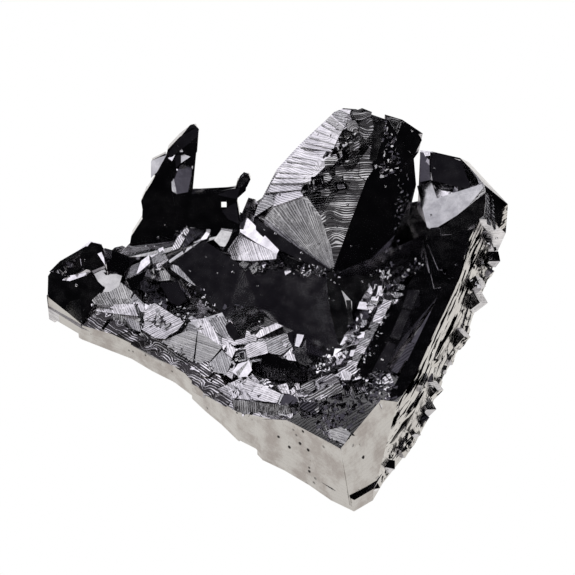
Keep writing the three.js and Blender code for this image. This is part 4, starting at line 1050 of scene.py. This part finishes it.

# the colour, from the bare metal to the painted shade in its grooves and pits
bright = mix_colour(ramp(noise_node(150, 4, 0.6), 0.3, 0.7), DULL_LEAD, BRIGHT_LEAD)
bright = mix_colour(ramp(noise_node(640, 3, 0.6), 0.4, 0.66, 0.0, 0.25), bright, MOTTLED_LEAD)
bright = mix_colour(ramp(streak, 0.0, 1.0, smooth=False), bright, STREAKED_LEAD)
wall = mix_colour(ramp(noise_node(210, 5, 0.65), 0.40, 0.66), CLEAN_WALL, STAINED_WALL)
metal = mix_colour(math_node("MAXIMUM", cleaved, ledged), bright, wall)
metal = mix_colour(ledged, metal, LEDGED_WALL)
# painted shade: the sunken dashes, blotches and pits turn near-black
metal = mix_colour(dark, metal, PAINTED_PIT_SHADE)
metal = mix_colour(times(times(banding, strength), 0.45), metal, BANDED_LEAD)
# painted shade: the grooves turn near-black, as if they lay in shadow
metal = mix_colour(ramp(groove, 0.0, 1.0, 0.0, 0.96, smooth=False), metal, PAINTED_GROOVE_SHADE)
links.new(metal, surface.inputs["Base Color"])
# the same sunken marks also mirror less, which deepens their painted shade
links.new(mix_colour(dark, FULL_GLANCE, LITTLE_GLANCE), surface.inputs["Specular Tint"])
links.new(ramp(noise_node(400, 3), 0.3, 0.7, GLOSSY, SATIN), surface.inputs["Roughness"])

galena_mesh.materials.clear()
galena_mesh.materials.append(galena_finish)
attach(galena, "root")
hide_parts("galena")


# ---------- the table and the light ----------
# A white table top and white room, with square soft boxes on stands round the piece. The mirror
# faces see little but the boxes, so each box is one tone of the metal, and the rest is black.

TABLE_REACH = 3.0
PURE_WHITE = (1, 1, 1, 1)
WARM_WHITE = (1.0, 0.98, 0.945, 1)
NEAR_BLACK = (0.0025, 0.0024, 0.003, 1)

floor_sheet = bmesh.new()
bmesh.ops.create_grid(floor_sheet, x_segments=1, y_segments=1, size=TABLE_REACH)
floor_mesh = bpy.data.meshes.new("table_top")
floor_sheet.to_mesh(floor_mesh)
floor_sheet.free()
table = place_object("table_top", floor_mesh)
table_finish = bpy.data.materials.new("white table")
world = bpy.data.worlds.new("studio")
bpy.context.scene.world = world

# both are plain white to the camera, and each has its own light on the mirror faces
for owner, shader, output, cast in (
    (table_finish, "ShaderNodeEmission", "ShaderNodeOutputMaterial", WARM_WHITE),
    (world, "ShaderNodeBackground", "ShaderNodeOutputWorld", NEAR_BLACK),
):
    owner.use_nodes = True
    tree = owner.node_tree
    tree.nodes.clear()
    seen_path = tree.nodes.new("ShaderNodeLightPath")
    choose = tree.nodes.new("ShaderNodeMixShader")
    tree.links.new(seen_path.outputs["Is Camera Ray"], choose.inputs["Fac"])
    for socket, colour in ((1, cast), (2, PURE_WHITE)):
        glow = tree.nodes.new(shader)
        glow.inputs["Color"].default_value = colour
        tree.links.new(glow.outputs[0], choose.inputs[socket])
    tree.links.new(choose.outputs[0], tree.nodes.new(output).inputs["Surface"])
floor_mesh.materials.append(table_finish)

# soft boxes: where they stand, width and height (m), radiance and colour
BOX_DISTANCE = 1.0
NEUTRAL = (1, 1, 1)
for name, stand, width, height, radiance, colour in (
    ("main soft box", MAIN_BOX, 0.86, 0.75, 1.55, (0.97, 0.95, 1.0)),
    ("side soft box", SIDE_BOX, 0.42, 0.50, 0.80, NEUTRAL),
    ("top soft box", TOP_BOX, 0.35, 0.3, 0.85, (0.96, 0.96, 1.0)),
    ("front overhead box", (285, 62.5), 0.48, 0.38, 1.0, NEUTRAL),
    ("slate box", SLATE_BOX, 0.42, 0.42, 0.13, (0.86, 0.82, 1.0)),
    ("low back box", BACK_BOX, 0.30, 0.34, 0.22, NEUTRAL),
    ("violet fill", VIOLET_FILL, 0.5, 0.5, 0.0115, (0.84, 0.77, 1.0)),
):
    box = bpy.data.lights.new(name, "AREA")
    box.shape = "RECTANGLE"
    box.size = width
    box.size_y = height
    box.energy = radiance * math.pi * width * height
    box.color = colour
    light = place_object(name, box)
    light.location = BOX_DISTANCE * toward(*stand)
    light.rotation_euler = (-light.location).to_track_quat("-Z", "Y").to_euler()

bpy.context.scene.view_settings.view_transform = "Standard"
